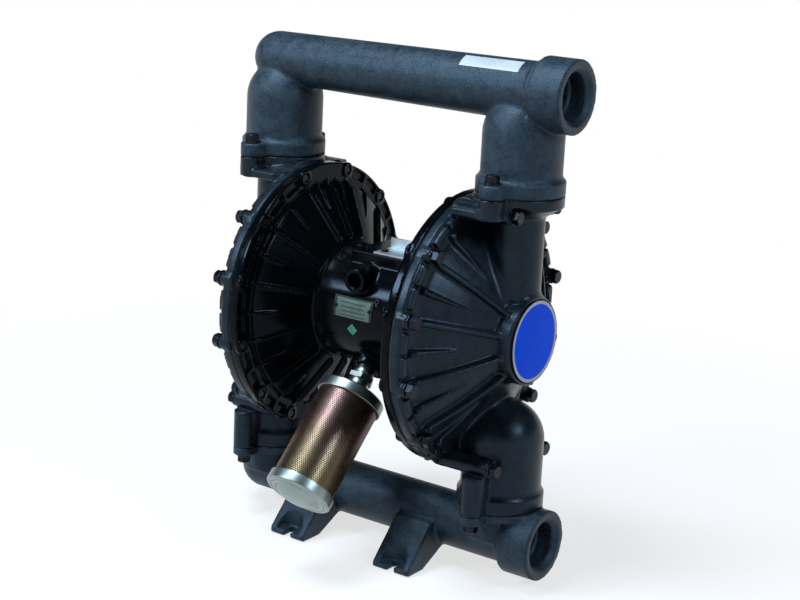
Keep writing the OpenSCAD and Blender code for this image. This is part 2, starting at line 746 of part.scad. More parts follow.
module hub_screw_set() {
    color("#54585e") for (i = [0:hub_screws - 1])
        at_angle((i + 0.5) * 360 / hub_screws, hub_screw_circle_r) difference() {
            union() {
                translate([0, 0, hub_in_x + 0.05]) cylinder(r = 5, h = 5);
                translate([0, 0, hub_in_x - 19]) cylinder(r = screw_r, h = 19.2);
            }
            translate([0, 0, hub_in_x + 2.5]) cylinder(r = 2.6, h = 4, $fn = 6);
        }
}

// Cover bolts run along X: heads on the fluid cover, threads in the air cover's bosses

module cover_bolt_set() {
    color("#3b4149") for (s = [-1, 1]) {
        for (a = side_angles) at_angle(s * a, bolt_circle_r) translate([0, 0, bolt_seat_x])
            flange_bolt(bolt_seat_x - air_boss_x - 1, bolt_r);
        for (a = long_angles) at_angle(s * a, bolt_circle_r) translate([0, 0, long_boss_x])
            flange_bolt(long_boss_x - air_boss_x - 1, bolt_r);
    }
}

module outlet_bolts() {
    color("#3b4149") both_ends() front_and_rear() at_leg(outlet_flange_z) translate([0, lug_y, 0])
        flange_bolt(leg_flange_h + lug_tap_l, bolt_r);
}

module inlet_bolts() {
    color("#3b4149") both_ends() front_and_rear()
        at_leg(inlet_joint_z - inlet_flange_t) translate([0, lug_y, 0]) rotate([180, 0, 0])
        flange_bolt(inlet_flange_t + lower_tap_l, bolt_r);
}

// Check valves: seats trapped at the joints, balls that rise from them

module ball_seat() {
    difference() {
        cylinder(r = ball_bore_r - seat_gap, h = seat_h);
        translate([0, 0, -1]) cylinder(r = seat_hole_r, h = seat_h + 2);
        translate([0, 0, seat_h - seat_cone_h])
            cylinder(r1 = seat_hole_r, r2 = seat_hole_r + seat_cone_h, h = seat_cone_h);
        translate([0, 0, seat_h - seat_cone_h + 3])
            tube_shape(ball_bore_r + 1, ball_bore_r - seat_gap - 2.5, 3);
    }
}

// The seat's ring lies in the groove round its top
module seat_ring() {
    translate([0, 0, seat_h - seat_cone_h + 4.5]) rotate_extrude()
        translate([ball_bore_r - seat_gap - 1.3, 0]) circle(1.2, $fn = 24);
}

module ball(z) {
    color("#e8e6df") at_leg(z + ball_rest_h) sphere(ball_r);
}

// Shaft, plates and diaphragms

module diaphragm_shaft() {
    color("#b9bec4") about_pump() difference() {
        translate([0, 0, -air_plate_x]) cylinder(r = shaft_r, h = 2 * air_plate_x);
        for (s = [0, 1]) mirror([0, 0, s]) translate([0, 0, air_plate_x - 42])
            cylinder(r = shaft_bolt_r + 0.05, h = 43);
    }
}

module shaft_bolt() {
    head_x = fluid_plate_x + fluid_plate_t;
    color("#8d9298") about_pump() {
        translate([0, 0, air_plate_x - 38]) cylinder(r = shaft_bolt_r, h = head_x - air_plate_x + 38.1);
        translate([0, 0, head_x]) cylinder(r = 19, h = 3);
        translate([0, 0, head_x + 2.9]) cylinder(r = 15, h = 11, $fn = 6);
    }
}

// The bearing ends where the seal's pocket starts
seal_l = 6;
bearing_x = housing_x - seal_l - bearing_l;

module shaft_bearing() {
    color("#d8c88f") about_pump() translate([0, 0, bearing_x])
        tube_shape(shaft_r + bearing_t, shaft_r + shaft_gap, bearing_l);
}

module shaft_seal() {
    color("#1d1d1f") about_pump() translate([0, 0, housing_x - seal_l]) difference() {
        tube_shape(shaft_r + bearing_t + 1.9, shaft_r + shaft_gap, seal_l - 0.5);
        translate([0, 0, seal_l - 2.5]) tube_shape(shaft_r + bearing_t, shaft_r + 2, 3);
    }
}

module diaphragm() {
    edge_r = dome_root_r - cover_wall;
    groove = air_groove_x + clamp_gap;
    wave_r = (plate_r + edge_r) / 2;
    color("#2a2a2c") about_pump() rotate_extrude() polygon([
        [shaft_bolt_r + 0.3, diaphragm_x + clamp_gap], [plate_r + 4, diaphragm_x + clamp_gap],
        [wave_r - wave_w, diaphragm_x + wave_h - 3], [wave_r, diaphragm_x + wave_h],
        [wave_r + wave_w, diaphragm_x + wave_h - 3],
        [edge_r - 6, groove - 1.5], [edge_r, groove],
        [diaphragm_r, groove], [diaphragm_r, groove + diaphragm_t],
        [edge_r, groove + diaphragm_t], [edge_r - 7, groove + diaphragm_t - 1],
        [wave_r + wave_w + 2, diaphragm_x + diaphragm_t + wave_h - 2.5],
        [wave_r, diaphragm_x + diaphragm_t + wave_h + 0.5],
        [wave_r - wave_w - 2, diaphragm_x + diaphragm_t + wave_h - 2.5],
        [plate_r + 3, fluid_plate_x - clamp_gap], [shaft_bolt_r + 0.3, fluid_plate_x - clamp_gap]]);
}

module air_plate() {
    color("#9aa0a6") about_pump() rotate_extrude() polygon([
        [shaft_bolt_r + 0.2, air_plate_x], [plate_r - 14, air_plate_x], [plate_r - 2, diaphragm_x - 5],
        [plate_r, diaphragm_x - 2.5], [plate_r - 1.5, diaphragm_x], [shaft_bolt_r + 0.2, diaphragm_x]]);
}

module fluid_plate() {
    outer_x = fluid_plate_x + fluid_plate_t;
    color("#9aa0a6") about_pump() rotate_extrude() polygon([
        [shaft_bolt_r + 0.2, fluid_plate_x], [plate_r - 1.5, fluid_plate_x],
        [plate_r, fluid_plate_x + 2.5], [plate_r - 2, fluid_plate_x + 5],
        [plate_r - 20, outer_x], [shaft_bolt_r + 0.2, outer_x]]);
}

// Centre housing with its ports, the valve face and the bores inside

// Puts +Z along the muffler's axis, away from the housing
module along_muffler() {
    translate([muffler_x, 0, pump_z]) rotate([90 + muffler_angle, 0, 0])
        translate([0, -muffler_offset, 0]) children();
}

// Depth at which the inlet passage turns down, and the height of its slot
drop_y = 44;
air_slot_dz = 26.5;
valve_port_x = [-24, 0, 24];

module pilot_axis() {
    translate([0, 0, pump_z - pilot_offset]) rotate([0, 90, 0]) children();
}

module center_housing() {
    pad_z = pump_z + top_pad_dz;
    color("#15171b") difference() {
        union() {
            about_pump() translate([0, 0, -housing_x]) cylinder(r = housing_r, h = 2 * housing_x);
            translate([58 - top_block_w, 40 - top_block_d, pump_z + 10])
                cube([top_block_w, top_block_d, top_pad_dz - 10]);
            translate([-valve_cover_x, 10, pump_z - valve_cover_z])
                cube([2 * valve_cover_x, valve_face_y - 8, 2 * valve_cover_z]);
            translate([0, -air_inlet_y, pump_z + air_inlet_dz]) rotate([-90, 0, 0])
                cylinder(r = air_inlet_r, h = air_inlet_y - 20);
            along_muffler() cylinder(r = 23, h = exhaust_face);
        }
        about_pump() translate([0, 0, -housing_x - 1])
            cylinder(r = shaft_r + 1.5, h = 2 * housing_x + 2);
        about_pump() translate([0, 0, -housing_hollow_x])
            cylinder(r = housing_hollow_r, h = 2 * housing_hollow_x);
        translate([-housing_x - 1, valve_face_y, pump_z - valve_cover_z - 10])
            cube([2 * housing_x + 2, housing_r - valve_face_y + 14, 2 * valve_cover_z + 20]);
        both_ends() {
            about_pump() translate([0, 0, bearing_x - 1])
                cylinder(r = shaft_r + bearing_t + 0.05, h = bearing_l + 2);
            about_pump() translate([0, 0, housing_x - seal_l]) cylinder(r = shaft_r + bearing_t + 2, h = seal_l + 1);
            for (i = [0:hub_screws - 1]) at_angle((i + 0.5) * 360 / hub_screws, hub_screw_circle_r)
                translate([0, 0, hub_in_x - 20]) cylinder(r = screw_r + 0.05, h = 30);
        }
        pilot_axis() translate([0, 0, -housing_x - 1]) cylinder(r = pilot_r + 2.05, h = 2 * housing_x + 2);
        // Air inlet thread and its passage to the valve face
        translate([0, -air_inlet_y - 1, pump_z + air_inlet_dz]) rotate([-90, 0, 0])
            cylinder(r = air_thread_r, h = air_thread_l + 1);
        translate([0, -air_inlet_y, pump_z + air_inlet_dz]) rotate([-90, 0, 0])
            cylinder(r = air_thread_r - 2.2, h = air_inlet_y + drop_y);
        translate([0, drop_y + 1, pump_z + air_slot_dz]) cylinder(r = 6, h = air_inlet_dz - air_slot_dz);
        translate([-12, drop_y - 1, pump_z + air_slot_dz - 3]) cube([24, valve_face_y, 6]);
        // Exhaust thread and its passage to the hollow round the shaft
        along_muffler() translate([0, 0, exhaust_face - exhaust_thread_l])
            cylinder(r = nipple_r + 0.05, h = exhaust_thread_l + 1);
        along_muffler() translate([0, 0, 20]) cylinder(r = nipple_bore_r, h = exhaust_face - 30);
        // Exhaust passage in the middle, and one passage to each air chamber
        for (x = valve_port_x) translate([x, drop_y - 11, pump_z]) rotate([-90, 0, 0])
            cylinder(r = 6, h = valve_face_y - drop_y + 12);
        both_ends() translate([valve_port_x[2] - 3, drop_y - 7, pump_z]) rotate([0, 90, 0])
            cylinder(r = 5, h = housing_x - valve_port_x[2] + 4);
        valve_frame(valve_face_y - 16) valve_screw_places() cylinder(r = screw_r + 0.05, h = 17);
        for (p = plug_places) plug_frame(p) translate([0, 0, -8]) cylinder(r = plug_r + 0.05, h = 12);
        for (x = bracket_screw_x) translate([x, bracket_screw_y, pad_z - 12]) cylinder(r = 2.55, h = 13);
        translate([-18, -30, pad_z - 10]) cylinder(r = 2.05, h = 11);
    }
}

// Places of the two plugs on the front, as X and angle over the horizontal
plug_places = [[31.5, 20.5], [46, 16]];
plug_r = 3.2;
module plug_frame(p) {
    translate([p[0], 0, pump_z]) rotate([90 - p[1], 0, 0]) translate([0, 0, housing_r]) children();
}

module housing_plugs() {
    color("#2c3036") for (p = plug_places) plug_frame(p) difference() {
        translate([0, 0, -7.5]) cylinder(r = plug_r, h = 8.3);
        translate([0, 0, -2]) cylinder(r = 1.9, h = 4, $fn = 6);
    }
}

module pilot_pin() {
    color("#c3c7cc") pilot_axis() {
        translate([0, 0, pilot_tip_x - 52]) cylinder(r = pilot_r, h = 52);
        translate([0, 0, pilot_tip_x - 54]) cylinder(r = pilot_r + 1.2, h = 3);
    }
}

module pilot_bush() {
    color("#d8c88f") pilot_axis() translate([0, 0, housing_x - pilot_bush_l])
        tube_shape(pilot_r + 2, pilot_r + 0.05, pilot_bush_l + 4);
}

// Air valve on the rear of the housing

module valve_frame(y) {
    translate([0, y, pump_z]) rotate([-90, 0, 0]) children();
}

module valve_screw_places() {
    for (x = [-1:1], z = [-1, 1])
        translate([x * (valve_cover_x - 8), z * (valve_cover_z - 7.5), 0]) children();
}

module valve_gasket() {
    color("#3a3a3c") valve_frame(valve_face_y) difference() {
        round_plate(2 * valve_cover_x, 2 * valve_cover_z, 6, valve_gasket_t);
        for (x = valve_port_x) translate([x, 0, -1]) cylinder(r = 6, h = valve_gasket_t + 2);
        translate([-12, -air_slot_dz - 3, -1]) cube([24, 6, valve_gasket_t + 2]);
        translate([0, 0, -1]) valve_screw_places() cylinder(r = screw_r + 0.3, h = valve_gasket_t + 2);
    }
}

module valve_block() {
    color("#8f959b") valve_frame(block_y) difference() {
        round_plate(valve_block_w, 2 * air_slot_dz - 7, 5, valve_block_t);
        for (x = valve_port_x) translate([x, 0, -1]) cylinder(r = 6, h = valve_block_t + 2);
    }
}

module valve_plate() {
    color("#b9bec4") valve_frame(plate_y) difference() {
        round_plate(valve_block_w - 4, 2 * air_slot_dz - 9, 4, valve_plate_t);
        for (x = valve_port_x) translate([x, 0, -1]) cylinder(r = 5, h = valve_plate_t + 2);
    }
}

module valve_carriage() {
    color("#e0dccb") valve_frame(carriage_y + 0.05) difference() {
        round_plate(34, 26, 3, carriage_h);
        translate([0, 0, -1]) round_plate(24, 14, 5, 5);
    }
}

module valve_pistons() {
    reach = valve_bore_l - piston_travel - 1;
    color("#d9d4c4") translate([0, piston_y, pump_z]) rotate([0, 90, 0]) difference() {
        union() {
            translate([0, 0, -reach]) cylinder(r = rod_r, h = 2 * reach);
            for (s = [0, 1]) mirror([0, 0, s]) translate([0, 0, reach - piston_w])
                cylinder(r = piston_r - piston_gap, h = piston_w);
        }
        // Notch that holds the carriage
        translate([-30, -rod_r - 1, -17.1]) cube([60, carriage_y + carriage_h - piston_y + rod_r + 1.2, 34.2]);
        for (s = [0, 1]) mirror([0, 0, s]) translate([0, 0, reach - piston_w / 2 - 1.5])
            tube_shape(piston_r + 1, piston_r - 2.5, 3);
    }
}

module valve_cover() {
    color("#121418") difference() {
        union() {
            valve_frame(block_y) round_plate(2 * valve_cover_x, 2 * valve_cover_z, 6, valve_flange_t);
            valve_frame(block_y + valve_flange_t - 1)
                round_plate(2 * valve_cover_x, 2 * valve_cover_z - 30, 8,
                    valve_cover_y - block_y - valve_flange_t + 1);
        }
        valve_frame(block_y - 1) round_plate(valve_block_w + 4, valve_room_h, 5,
            carriage_y + carriage_h - block_y + 1.5);
        translate([0, piston_y, pump_z]) rotate([0, 90, 0]) {
            translate([0, 0, -valve_cover_x - 1]) cylinder(r = piston_r, h = 2 * valve_cover_x + 2);
            for (s = [0, 1]) mirror([0, 0, s]) translate([0, 0, valve_bore_l])
                cylinder(r = piston_r + 2, h = plug_l + 1);
        }
        translate([0, block_y, pump_z]) rotate([-90, 0, 0]) translate([0, 0, -1])
            valve_screw_places() cylinder(r = screw_r + 0.4, h = valve_flange_t + 4);
    }
}

module valve_end_plugs() {
    color("#2c3036") both_ends() translate([valve_bore_l + 0.05, piston_y, pump_z]) rotate([0, 90, 0])
        difference() {
            cylinder(r = piston_r + 1.95, h = plug_l - 0.5);
            translate([0, 0, plug_l - 3.5]) cylinder(r = 6, h = 4, $fn = 6);
        }
}

module valve_cover_screws() {
    color("#54585e") valve_frame(block_y + valve_flange_t + 0.05) valve_screw_places() difference() {
        union() {
            cylinder(r = 5.2, h = 5.5);
            translate([0, 0, -valve_screw_l]) cylinder(r = screw_r, h = valve_screw_l + 0.1);
        }
        translate([0, 0, 2.5]) cylinder(r = 2.6, h = 4, $fn = 6);
    }
}

// Muffler on the exhaust port

module exhaust_nipple() {
    start = exhaust_face - exhaust_thread_l + 1;
    color("#c9cdd0") along_muffler() difference() {
        union() {
            translate([0, 0, start]) cylinder(r = nipple_r, h = muffler_start + 12 - start);
            translate([0, 0, exhaust_face + 6]) cylinder(r = 18, h = 12, $fn = 6);
        }
        translate([0, 0, start - 1]) cylinder(r = nipple_bore_r, h = muffler_start + 16 - start);
    }
}

// A cap's pan, drawn with its outer face at z = 0 and its skirt towards +Z
module muffler_pan(hole_r) {
    rotate_extrude() polygon([
        [hole_r, 0], [cap_r - 9, 0], [cap_r - 8, 1.5], [cap_r - 6, 1.5], [cap_r - 5, 0],
        [cap_r - 2, 0], [cap_r, 2], [cap_r, cap_h], [muffler_r + 0.2, cap_h],
        [muffler_r + 0.2, cap_t + 2], [hole_r, cap_t + 2]]);
}

module muffler_top_cap() {
    color("#c9cdd0") along_muffler() translate([0, 0, muffler_start]) difference() {
        union() {
            muffler_pan(nipple_r + 0.05);
            translate([0, 0, -9]) difference() {
                cylinder(r = 19, h = 9.5, $fn = 6);
                translate([0, 0, -1]) cylinder(r = nipple_r + 0.05, h = 12);
            }
        }
    }
}

module muffler_bottom_cap() {
    color("#c9cdd0") along_muffler() translate([0, 0, muffler_end]) mirror([0, 0, 1]) {
        muffler_pan(0);
        translate([0, 0, 0.01]) mirror([0, 0, 1]) rotate_extrude() polygon([
            [0, 0], [cap_r - 11, 0], [cap_r - 14, 2], [cap_r - 24, 4], [0, 5]]);
    }
}

module muffler_mesh() {
    color("#8a6f5a") along_muffler() translate([0, 0, muffler_start + cap_t + 2.1])
        tube_shape(muffler_r, muffler_r - muffler_sheet_t, muffler_l - 2 * (cap_t + 2.1));
}

module muffler_core() {
    color("#cfc9b8") along_muffler() translate([0, 0, muffler_start + cap_t + 2.2])
        tube_shape(muffler_r - muffler_sheet_t - 0.1, nipple_r + 0.3, muffler_l - 2 * (cap_t + 2.2));
}

// Trim on the front and on top

module label_disc() {
    color("#1450d8") about_pump() translate([0, 0, hub_boss_x]) cylinder(r = disc_r, h = disc_t);
}

// The name plate is bent round the housing's front, from the axis upwards
module name_plate() {
    plate_r0 = housing_r + 0.05;
    turn = name_plate_h / plate_r0 * 180 / PI;
    color("#9fb2a6") difference() {
        translate([-name_plate_l / 2 - 3, 0, pump_z]) rotate([0, 90, 0]) rotate([0, 0, -90 - turn])
            rotate_extrude(angle = turn) translate([plate_r0, 0]) square([0.9, name_plate_l]);
        for (s = [-1, 1]) name_pin_frame(s) translate([0, 0, -4]) cylinder(r = 1.5, h = 8);
    }
}

module name_pin_frame(s) {
    turn = name_plate_h / housing_r * 90 / PI;
    translate([s * (name_plate_l / 2 - 4) - 3, 0, pump_z]) rotate([90 - turn, 0, 0])
        translate([0, 0, housing_r]) children();
}

module name_plate_pins() {
    color("#54585e") for (s = [-1, 1]) name_pin_frame(s) {
        translate([0, 0, 0.95]) cylinder(r = 2.4, h = 1.2);
        translate([0, 0, 0.02]) cylinder(r = 1.4, h = 1.2);
    }
}

bracket_x0 = 0;
bracket_screw_x = [bracket_x0 + 9, bracket_x0 + bracket_w - 9];
bracket_screw_y = -30;

module top_bracket() {
    pad_z = pump_z + top_pad_dz;
    color("#c4ccd0") difference() {
        union() {
            translate([bracket_x0, -42, pad_z]) cube([bracket_w, 40, 2]);
            translate([bracket_x0, -4, pad_z]) cube([bracket_w, 2, 15]);
        }
        for (x = bracket_screw_x) translate([x, bracket_screw_y, pad_z - 1]) cylinder(r = 2.8, h = 4);
    }
}

module bracket_screws() {
    pad_z = pump_z + top_pad_dz;
    color("#54585e") for (x = bracket_screw_x) translate([x, bracket_screw_y, pad_z + 2]) {
        cylinder(r = 4.8, h = 3);
        translate([0, 0, -12]) cylinder(r = 2.5, h = 12.1);
    }
}

module ground_screw() {
    color("#b79a56") translate([-18, -30, pump_z + top_pad_dz]) {
        cylinder(r = 5.5, h = 1.2);
        translate([0, 0, 1.1]) cylinder(r = 3.8, h = 3);
        translate([0, 0, -9]) cylinder(r = 2, h = 9.1);
    }
}

outlet_manifold();
inlet_manifold();
mirror([1, 0, 0]) fluid_cover();  // left_fluid_cover
fluid_cover();  // right_fluid_cover
mirror([1, 0, 0]) air_cover();  // left_air_cover
air_cover();  // right_air_cover
center_housing();
mirror([1, 0, 0]) hub_gasket();  // left_hub_gasket
hub_gasket();  // right_hub_gasket
mirror([1, 0, 0]) hub_screw_set();  // hub_screws_left
hub_screw_set();  // hub_screws_right
mirror([1, 0, 0]) cover_bolt_set();  // cover_bolts_left
cover_bolt_set();  // cover_bolts_right
outlet_bolts();
inlet_bolts();
color("#b9bec4") both_ends() at_leg(outlet_joint_z) ball_seat();  // outlet_seats
color("#b9bec4") both_ends() at_leg(inlet_joint_z) ball_seat();  // inlet_seats
color("#1d1d1f") both_ends() at_leg(outlet_joint_z) seat_ring();  // outlet_seat_rings
color("#1d1d1f") both_ends() at_leg(inlet_joint_z) seat_ring();  // inlet_seat_rings
mirror([1, 0, 0]) ball(outlet_joint_z);  // outlet_ball_left
ball(outlet_joint_z);  // outlet_ball_right
mirror([1, 0, 0]) ball(inlet_joint_z);  // inlet_ball_left
ball(inlet_joint_z);  // inlet_ball_right
diaphragm_shaft();
both_ends() shaft_bearing();  // shaft_bearings
both_ends() shaft_seal();  // shaft_seals
both_ends() shaft_bolt();  // shaft_bolts
mirror([1, 0, 0]) diaphragm();  // left_diaphragm
diaphragm();  // right_diaphragm
mirror([1, 0, 0]) air_plate();  // left_air_plate
air_plate();  // right_air_plate
mirror([1, 0, 0]) fluid_plate();  // left_fluid_plate
fluid_plate();  // right_fluid_plate
mirror([1, 0, 0]) pilot_pin();  // left_pilot_pin
pilot_pin();  // right_pilot_pin
both_ends() pilot_bush();  // pilot_bushes
valve_gasket();
valve_block();
valve_plate();
valve_carriage();
valve_pistons();
valve_cover();
valve_end_plugs();
valve_cover_screws();
exhaust_nipple();
muffler_top_cap();
muffler_mesh();
muffler_core();
muffler_bottom_cap();
label_disc();
name_plate();
name_plate_pins();
top_bracket();
bracket_screws();
ground_screw();
housing_plugs();
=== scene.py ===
"""Finished look of an air-operated double-diaphragm pump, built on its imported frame.

The castings are made from distance fields, so that ribs, bosses, necks and flanges run
into each other with the fillets of a sand casting. Bolts and the muffler's perforations
are Geometry Nodes. Sizes are millimetres until a mesh is made in metres.
"""

import functools
import itertools
import json
import logging
import math
from dataclasses import dataclass, field
from enum import Enum
from typing import Callable, Iterable, Sequence

import bmesh
import bpy
import numpy as np
from mathutils import Matrix, Vector

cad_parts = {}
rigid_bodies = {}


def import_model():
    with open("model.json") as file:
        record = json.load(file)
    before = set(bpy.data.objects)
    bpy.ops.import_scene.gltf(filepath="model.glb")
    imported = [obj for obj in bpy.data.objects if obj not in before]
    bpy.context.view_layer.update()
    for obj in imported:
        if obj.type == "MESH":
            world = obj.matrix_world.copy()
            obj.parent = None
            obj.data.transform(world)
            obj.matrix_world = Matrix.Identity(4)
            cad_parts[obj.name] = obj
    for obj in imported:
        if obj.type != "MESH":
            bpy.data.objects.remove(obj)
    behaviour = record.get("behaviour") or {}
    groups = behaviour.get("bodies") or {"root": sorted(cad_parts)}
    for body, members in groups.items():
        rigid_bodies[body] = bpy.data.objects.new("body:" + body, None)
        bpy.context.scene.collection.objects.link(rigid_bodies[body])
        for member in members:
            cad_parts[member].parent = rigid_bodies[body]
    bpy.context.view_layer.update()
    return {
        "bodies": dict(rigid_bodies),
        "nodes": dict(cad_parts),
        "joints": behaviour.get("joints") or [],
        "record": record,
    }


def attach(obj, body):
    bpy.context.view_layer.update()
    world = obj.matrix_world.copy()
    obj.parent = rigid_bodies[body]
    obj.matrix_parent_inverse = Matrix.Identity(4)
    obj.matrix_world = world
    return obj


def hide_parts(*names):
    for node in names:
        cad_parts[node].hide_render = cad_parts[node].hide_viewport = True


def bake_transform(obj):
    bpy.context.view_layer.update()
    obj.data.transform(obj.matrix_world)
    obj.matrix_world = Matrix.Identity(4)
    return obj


LOG = logging.getLogger("diaphragm_pump")
MM = 0.001
ROOT_BODY = "pump_body"
BOTH = (-1, 1)
Array = np.ndarray
Point = tuple[float, float, float]
Corners = Sequence[tuple[float, float]]
Solid = tuple[Array, list]
Mesh = bpy.types.Mesh
Material = bpy.types.Material
Kit = dict[str, Material]
Tree = bpy.types.NodeTree
Socket = bpy.types.NodeSocket


class Side(Enum):
    """The two halves of the pump, as the sign of X."""

    LEFT = -1
    RIGHT = 1

    @property
    def word(self) -> str:
        """Name of the side as used in node names."""
        return self.name.lower()


class Wave(Enum):
    """Pattern that a finish draws in its bump, as the detail of its noise."""

    GRAIN = 3.0
    ORANGE_PEEL = 1.0
    NONE = 0.0


# -------- materials


def srgb(code: str) -> tuple[float, float, float, float]:
    """Turns a hex colour into Blender's linear colour.

    Args:
        code: colour such as "#20262e".

    Returns:
        Linear red, green, blue and an alpha of one.
    """
    parts = [int(code[i : i + 2], 16) / 255 for i in (1, 3, 5)]
    red, green, blue = (c / 12.92 if c <= 0.04045 else ((c + 0.055) / 1.055) ** 2.4 for c in parts)
    return red, green, blue, 1.0


def add_node(tree: Tree, kind: str, settings: dict | None = None, **links: object) -> bpy.types.Node:
    """Adds a node, sets its properties and fills or links its inputs.

    Args:
        tree: node tree that gets the node.
        kind: Blender's type name of the node.
        settings: node properties by name.
        **links: input name (underscores for spaces, or i0, i1 for its place) to a socket or a value.

    Returns:
        The new node.
    """
    node = tree.nodes.new(kind)
    for name, value in (settings or {}).items():
        setattr(node, name, value)
    for name, value in links.items():
        key = int(name[1:]) if name[0] == "i" and name[1:].isdigit() else name.replace("_", " ")
        socket = node.inputs[key]
        if isinstance(value, Socket):
            tree.links.new(value, socket)
        else:
            socket.default_value = value
    return node


def put(name: str, data: bpy.types.ID) -> bpy.types.Object:
    """Puts an object with a mesh, lamp or camera into the scene."""
    obj = bpy.data.objects.new(name, data)
    bpy.context.scene.collection.objects.link(obj)
    return obj


def empty_tree(owner: Material | bpy.types.World) -> Tree:
    """Node tree of a material or world, cleared of its first nodes."""
    owner.use_nodes = True
    owner.node_tree.nodes.clear()
    return owner.node_tree


def ramp(tree: Tree, factor: Socket, stops: Sequence[tuple[float, str]]) -> Socket:
    """Adds a colour ramp.

    Args:
        tree: material node tree.
        factor: socket that drives the ramp.
        stops: positions with hex colours, from low to high.

    Returns:
        The ramp's colour socket.
    """
    node = add_node(tree, "ShaderNodeValToRGB", i0=factor)
    elements = node.color_ramp.elements
    while len(elements) < len(stops):
        elements.new(0.5)
    for element, (place, code) in zip(elements, stops):
        element.position = place
        element.color = srgb(code)
    return node.outputs[0]


# Tint of the gloss on the coats, a little blue
SKY_TINT = "#c4e0f8"
# Values between which nearly all of a noise lies, for colours and for other uses
MOTTLE_SPAN = (0.32, 0.68)
NOISE_SPAN = (0.3, 0.7)


@dataclass(frozen=True)
class Finish:
    """A surface finish made of a base colour, its mottling, a bump pattern and a gloss."""

    name: str
    colour: str
    colour_dark: str
    roughness: float
    metallic: float = 0.0
    roughness_spread: float = 0.08
    mottle_mm: float = 40.0
    bump_mm: float = 1.6
    bump_height_mm: float = 0.1
    wave: Wave = Wave.GRAIN
    specular: float = 0.5
    speckle: float = 0.6
    gloss_tint: str = "#ffffff"

    def noise(self, tree: Tree, place: Socket, size_mm: float, detail: float, roughness: float) -> Socket:
        """Adds a noise whose grains have a size in millimetres."""
        scale = 1 / (size_mm * MM)
        node = add_node(tree, "ShaderNodeTexNoise", Vector=place, Scale=scale, Detail=detail, Roughness=roughness)
        return node.outputs[0]

    def build(self) -> Material:
        """Makes the node material.

        Returns:
            The finished material.
        """
        material = bpy.data.materials.new(self.name)
        tree = empty_tree(material)
        place = add_node(tree, "ShaderNodeTexCoord").outputs["Object"]
        mottle = self.noise(tree, place, self.mottle_mm, 5.0, self.speckle)
        colour = ramp(tree, mottle, list(zip(MOTTLE_SPAN, (self.colour_dark, self.colour))))
        gloss = [self.roughness + sign * self.roughness_spread for sign in BOTH]
        rough = add_node(
            tree, "ShaderNodeMapRange", i0=mottle, i1=NOISE_SPAN[0], i2=NOISE_SPAN[1], i3=gloss[0], i4=gloss[1]
        )
        shader = add_node(
            tree, "ShaderNodeBsdfPrincipled", Base_Color=self.tint(tree, place, colour), Metallic=self.metallic,
            Roughness=rough.outputs[0],
        )
        if self.metallic < 0.5:
            shader.inputs["Specular IOR Level"].default_value = self.specular
            shader.inputs["Specular Tint"].default_value = srgb(self.gloss_tint)
        if self.wave is not Wave.NONE:
            height = self.noise(tree, place, self.bump_mm, self.wave.value, 0.6)
            bump = add_node(tree, "ShaderNodeBump", Height=height, Strength=1.0, Distance=self.bump_height_mm * MM)
            tree.links.new(bump.outputs[0], shader.inputs["Normal"])
        add_node(tree, "ShaderNodeOutputMaterial", i0=shader.outputs[0])
        return material

    def tint(self, tree: Tree, place: Socket, colour: Socket) -> Socket:
        """Hook for finishes with more than one colour; returns the colour as it is."""
        return colour


@dataclass(frozen=True)
class ChromateFinish(Finish):
    """Yellow passivated zinc: a thin film that turns from violet and bronze to gold and green."""

    start: Point = (0.0, 0.0, 0.0)
    end: Point = (0.0, 0.0, 1.0)
    film: tuple[str, ...] = ("#8f7068", "#9a7a78", "#947b66", "#8c7c5c", "#86785a")
    cloud_shift: float = 0.16
    plain_share: float = 0.25

    def tint(self, tree: Tree, place: Socket, colour: Socket) -> Socket:
        """Colours the film along the sleeve, with clouds where it lay thicker.

        Args:
            tree: material node tree.
            place: object coordinates.
            colour: plain mottled colour, mixed in a little.

        Returns:
            Colour socket.
        """
        start, end = Vector(self.start), Vector(self.end)
        along = (end - start) / (end - start).length_squared
        offset = add_node(tree, "ShaderNodeVectorMath", {"operation": "SUBTRACT"}, i0=place, i1=start)
        share = add_node(tree, "ShaderNodeVectorMath", {"operation": "DOT_PRODUCT"}, i0=offset.outputs[0], i1=along)
        cloud = add_node(tree, "ShaderNodeTexNoise", Vector=place, Scale=28.0, Detail=2.0)
        shift = add_node(
            tree, "ShaderNodeMapRange", i0=cloud.outputs[0], i1=NOISE_SPAN[0], i2=NOISE_SPAN[1],
            i3=-self.cloud_shift, i4=self.cloud_shift,
        )
        total = add_node(tree, "ShaderNodeMath", {"operation": "ADD"}, i0=share.outputs["Value"], i1=shift.outputs[0])
        stops = [(i / (len(self.film) - 1), code) for i, code in enumerate(self.film)]
        film = ramp(tree, total.outputs[0], stops)
        return add_node(
            tree, "ShaderNodeMix", {"data_type": "RGBA"}, i0=self.plain_share, i6=film, i7=colour
        ).outputs[2]


@dataclass(frozen=True)
class DrawnFinish(Finish):
    """A flat piece with shapes of one colour each drawn over its field; nothing is written."""

    centre: Point = (0.0, 0.0, 0.0)

    def tint(self, tree: Tree, place: Socket, colour: Socket) -> Socket:
        """Lays each shape over the field, in order.

        Args:
            tree: material node tree.
            place: object coordinates.
            colour: the bare field.

        Returns:
            Colour socket.
        """
        offset = add_node(tree, "ShaderNodeVectorMath", {"operation": "SUBTRACT"}, i0=place, i1=Vector(self.centre))
        for mark, code in self.marks(tree, offset.outputs[0]):
            mix = add_node(tree, "ShaderNodeMix", {"data_type": "RGBA"}, i0=mark, i6=colour, i7=srgb(code))
            colour = mix.outputs[2]
        return colour

    def marks(self, tree: Tree, offset: Socket) -> list[tuple[Socket, str]]:
        """Masks from the centre's offset, each with its colour; none here."""
        return []


